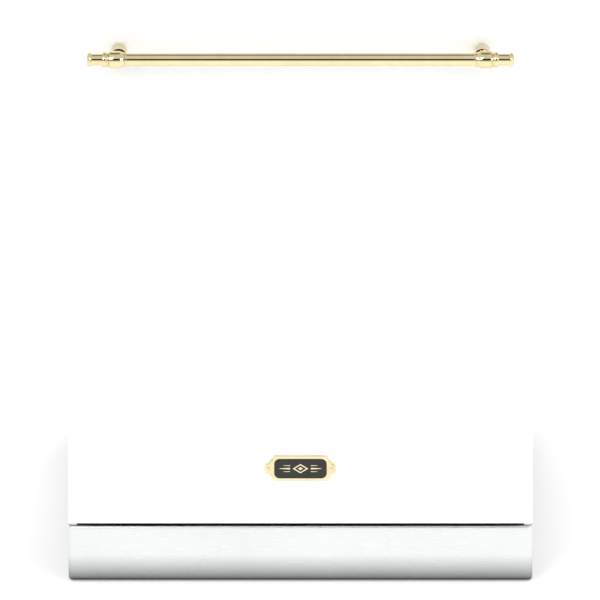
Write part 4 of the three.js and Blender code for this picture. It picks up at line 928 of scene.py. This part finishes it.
def make_salt_cap():
    """Grip ribs round the cap's side."""
    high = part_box("salt_cap")[1]
    at = centre("salt_cap")
    bm = bmesh.new()
    add_block_ring(bm, (at.x, at.y, high[2] - 10.2 * MM), 32.6 * MM, 24, (1.6 * MM, 3.4 * MM, 6.4 * MM))
    add_piece("salt_cap_ribs", mesh_from(bm, "salt_cap_ribs"), "salt_cap_body", "grey_plastic")


# ---- Cabinet skins ----
def make_side_details():
    """Raised ribs and screw heads on both side panels."""
    for word, side in (("left", -1), ("right", 1)):
        low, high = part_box(word + "_side_panel")
        face = high[0] if side > 0 else low[0]
        bm = bmesh.new()
        for z in stations(low[2] + 130 * MM, high[2] - 90 * MM, 4):
            add_block(bm, *ordered((face - side * 0.6 * MM, low[1] + 60 * MM, z - 9 * MM),
                                   (face + side * 0.8 * MM, high[1] - 60 * MM, z + 9 * MM)), 0.65 * MM, 3)
        add_piece(word + "_side_ribs", mesh_from(bm, "ribs"), "cabinet", "zinc_steel", smooth=60)
        bm = bmesh.new()
        for z in stations(low[2] + 40 * MM, high[2] - 25 * MM, 5):
            for y in (max(low[1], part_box("tub_wrapper")[0][1]) + 45 * MM, high[1] - 14 * MM):
                head = [(0, -0.4), (4.2, -0.4), (4.2, 0.35), (3.4, 0.7), (1.3, 0.85), (1.1, 0.4), (0, 0.4)]
                add_turned(bm, mm_profile(head, side), "x", (face, y, z), 20)
        add_piece(word + "_side_screws", mesh_from(bm, "screws"), "cabinet", "zinc_steel", SCREW_STEEL)


def make_rear_details():
    """The rear sheet with five bars pressed into it."""
    low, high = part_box("rear_panel")
    press = 0.6 * MM
    ends, ends_in, rise, rise_in = 230 * MM, 229 * MM, 10 * MM, 9 * MM
    bars = stations(low[2] + 90 * MM, high[2] - 90 * MM, 5)
    xs = [low[0], -ends, -ends_in, ends_in, ends, high[0]]
    zs = [low[2]] + [z + step for z in bars for step in (-rise, -rise_in, rise_in, rise)] + [high[2]]

    def in_bar(x, z):
        slack = 1.01
        return abs(x) <= ends_in and min(abs(z - bar) for bar in bars) < rise_in * slack

    bm = bmesh.new()
    grids = []
    for y, sunk in ((high[1], press), (low[1], 0)):
        grids.append([[
            bm.verts.new((x, y - (sunk if in_bar(x, z) else 0), z)) for x in xs] for z in zs])
    for grid in grids:
        for lower, upper in zip(grid, grid[1:]):
            for i in range(len(xs) - 1):
                bm.faces.new([lower[i], lower[i + 1], upper[i + 1], upper[i]])
    outer, inner = grids
    for row in (0, -1):
        for i in range(len(xs) - 1):
            bm.faces.new([outer[row][i], outer[row][i + 1], inner[row][i + 1], inner[row][i]])
    for column in (0, -1):
        for i in range(len(zs) - 1):
            bm.faces.new([outer[i][column], outer[i + 1][column], inner[i + 1][column], inner[i][column]])
    add_piece("rear_sheet", mesh_from(bm, "rear_sheet"), "cabinet", "zinc_steel",
              replaces=["rear_panel"], smooth=5)


def make_brackets():
    """A washer ring round each fixing bracket's screw hole."""
    for word in ("left", "right"):
        low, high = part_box(word + "_fixing_bracket")
        x = (low[0] + high[0]) / 2
        y = low[1] + 19 * MM
        bm = bmesh.new()
        ring = [(3.3, -0.2), (6.2, -0.2), (6.2, 0.0), (3.3, 0.0), (3.3, -0.2)]
        add_turned(bm, mm_profile(ring), "z", (x, y, high[2]), 28)
        add_piece(word + "_bracket_ring", mesh_from(bm, "ring"), "cabinet", "zinc_steel")


def make_feet():
    """A round pad, a hexagon for the spanner, and a grooved stem in place of the thread."""
    for word in CORNERS:
        node = "foot_" + word
        at = centre(node)
        bm = bmesh.new()
        base = [(0, 0), (18.8, 0), (20, 1.0), (20, 3.2), (18.6, 4.4), (12.4, 6.6), (0, 6.6)]
        add_turned(bm, mm_profile(base), "z", (at.x, at.y, 0), 40)
        add_turned(bm, mm_profile([(0, 6.4), (10.6, 6.4), (10.6, 13.6), (0, 13.6)]), "z", (at.x, at.y, 0), 6)
        root, crest, pitch, start = 5.2, 5.9, 1.8, 13.6
        thread = [(0, 13)]
        for i in range(30):
            thread += [(root, start + pitch * i), (crest, start + pitch * (i + 0.5))]
        thread += [(root, 67.6), (0, 67.9)]
        add_turned(bm, mm_profile(thread), "z", (at.x, at.y, 0), 24)
        add_piece(node + "_screw", mesh_from(bm, node), node + "_body", "grey_plastic",
                  replaces=[node], smooth=25)


def make_tub_details():
    """Pressed ribs in the tub's side walls."""
    low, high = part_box("tub_wrapper")
    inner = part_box("tub_back")[1][0] + 0.3 * MM
    bm = bmesh.new()
    for side in (-1, 1):
        for z in (high[2] - 90 * MM, high[2] - 60 * MM):
            add_block(bm, *ordered((side * (inner + 0.5 * MM), low[1] + 70 * MM, z - 6 * MM),
                                   (side * (inner - 1.6 * MM), high[1] - 60 * MM, z + 6 * MM)), 1 * MM, 3)
    add_piece("tub_ribs", mesh_from(bm, "tub_ribs"), "cabinet", "tub_steel", smooth=60)


# ---- Stage ----
FLOOR_REACH = 30
FLOOR_GLOW = 0.30
WORLD_LIGHT = 0.84
CEILING_LEAN = math.radians(18)
CEILING_EDGE = (0.92, 0.96)
CEILING_DARK = 0.62
FRONT_EDGE = (-0.72, -0.86)
FRONT_HEIGHTS = ((0, 0), (0.10, 0), (0.18, 1), (0.50, 1), (0.60, 0), (1, 0))
WORLD_DARK = (0.02, 0.018, 0.015, 1)


def make_floor():
    bm = bmesh.new()
    bmesh.ops.create_grid(bm, x_segments=1, y_segments=1, size=FLOOR_REACH)
    floor = link(bpy.data.objects.new("floor", mesh_from(bm, "floor")))
    pale = surface("pale_floor", (0.95, 0.95, 0.95), 0.7, vary=0.05, grain=60, bump=0.02, tint=0.01)
    glow = pale.node_tree.nodes["Principled BSDF"]
    glow.inputs["Emission Color"].default_value = (1, 1, 1, 1)
    glow.inputs["Emission Strength"].default_value = FLOOR_GLOW
    floor.data.materials.append(pale)


def area_light(name, at, aim, size, power):
    data = bpy.data.lights.new(name, "AREA")
    data.shape = "RECTANGLE"
    data.size, data.size_y = size
    data.energy = power
    light = link(bpy.data.objects.new(name, data))
    light.location = at
    light.rotation_euler = (Vector(aim) - Vector(at)).to_track_quat("-Z", "Y").to_euler()
    light.visible_camera = False


def make_world():
    """A bright plain studio with a dark patch in front and a dim one overhead, for the brass to reflect."""
    world = bpy.data.worlds.new("studio")
    world.use_nodes = True
    nodes, links = world.node_tree.nodes, world.node_tree.links
    background = nodes["Background"]
    background.inputs["Strength"].default_value = WORLD_LIGHT
    place = nodes.new("ShaderNodeTexCoord")
    split = nodes.new("ShaderNodeSeparateXYZ")
    links.new(place.outputs["Generated"], split.inputs["Vector"])
    height = grey_ramp(nodes, links, split.outputs["Z"], FRONT_HEIGHTS)
    front = nodes.new("ShaderNodeMapRange")
    front.inputs["From Min"].default_value, front.inputs["From Max"].default_value = FRONT_EDGE
    links.new(split.outputs["Y"], front.inputs["Value"])
    dark = nodes.new("ShaderNodeMath")
    dark.operation = "MULTIPLY"
    links.new(height, dark.inputs[0])
    links.new(front.outputs["Result"], dark.inputs[1])
    overhead = nodes.new("ShaderNodeVectorMath")
    overhead.operation = "DOT_PRODUCT"
    overhead.inputs[1].default_value = (0, math.sin(CEILING_LEAN), math.cos(CEILING_LEAN))
    links.new(place.outputs["Generated"], overhead.inputs[0])
    ceiling = nodes.new("ShaderNodeMapRange")
    ceiling.inputs["From Min"].default_value, ceiling.inputs["From Max"].default_value = CEILING_EDGE
    ceiling.inputs["To Max"].default_value = CEILING_DARK
    links.new(overhead.outputs["Value"], ceiling.inputs["Value"])
    most = nodes.new("ShaderNodeMath")
    most.operation = "MAXIMUM"
    links.new(dark.outputs["Value"], most.inputs[0])
    links.new(ceiling.outputs["Result"], most.inputs[1])
    mix = nodes.new("ShaderNodeMix")
    mix.data_type = "RGBA"
    mix.inputs["A"].default_value = (1.0, 1.0, 1.0, 1)
    mix.inputs["B"].default_value = WORLD_DARK
    links.new(most.outputs["Value"], mix.inputs["Factor"])
    links.new(mix.outputs["Result"], background.inputs["Color"])
    bpy.context.scene.world = world


def make_lights():
    aim = (0, 0, 0.4)
    area_light("key", (-1.6, -3.4, 3.2), aim, (2.0, 2.0), 55)
    area_light("fill", (2.6, -2.6, 1.9), aim, (2.0, 2.0), 28)
    area_light("rear", (0.6, 4.0, 2.4), aim, (3.0, 2.4), 45)
    make_world()
    bpy.context.scene.view_settings.view_transform = "Standard"


make_door_panel()
make_handle()
make_badge()
make_plinth()
make_controls()
make_liner_ribs()
make_dispenser()
make_lower_rack()
make_wheels()
make_tines()
make_upper_rack()
make_cup_shelf()
make_cutlery_basket()
make_spray_arm("lower_spray_arm", "lower_spray_arm_body")
make_spray_arm("upper_spray_arm", "upper_spray_arm_body")
make_filter()
make_salt_cap()
make_side_details()
make_rear_details()
make_brackets()
make_feet()
make_tub_details()
make_floor()
make_lights()
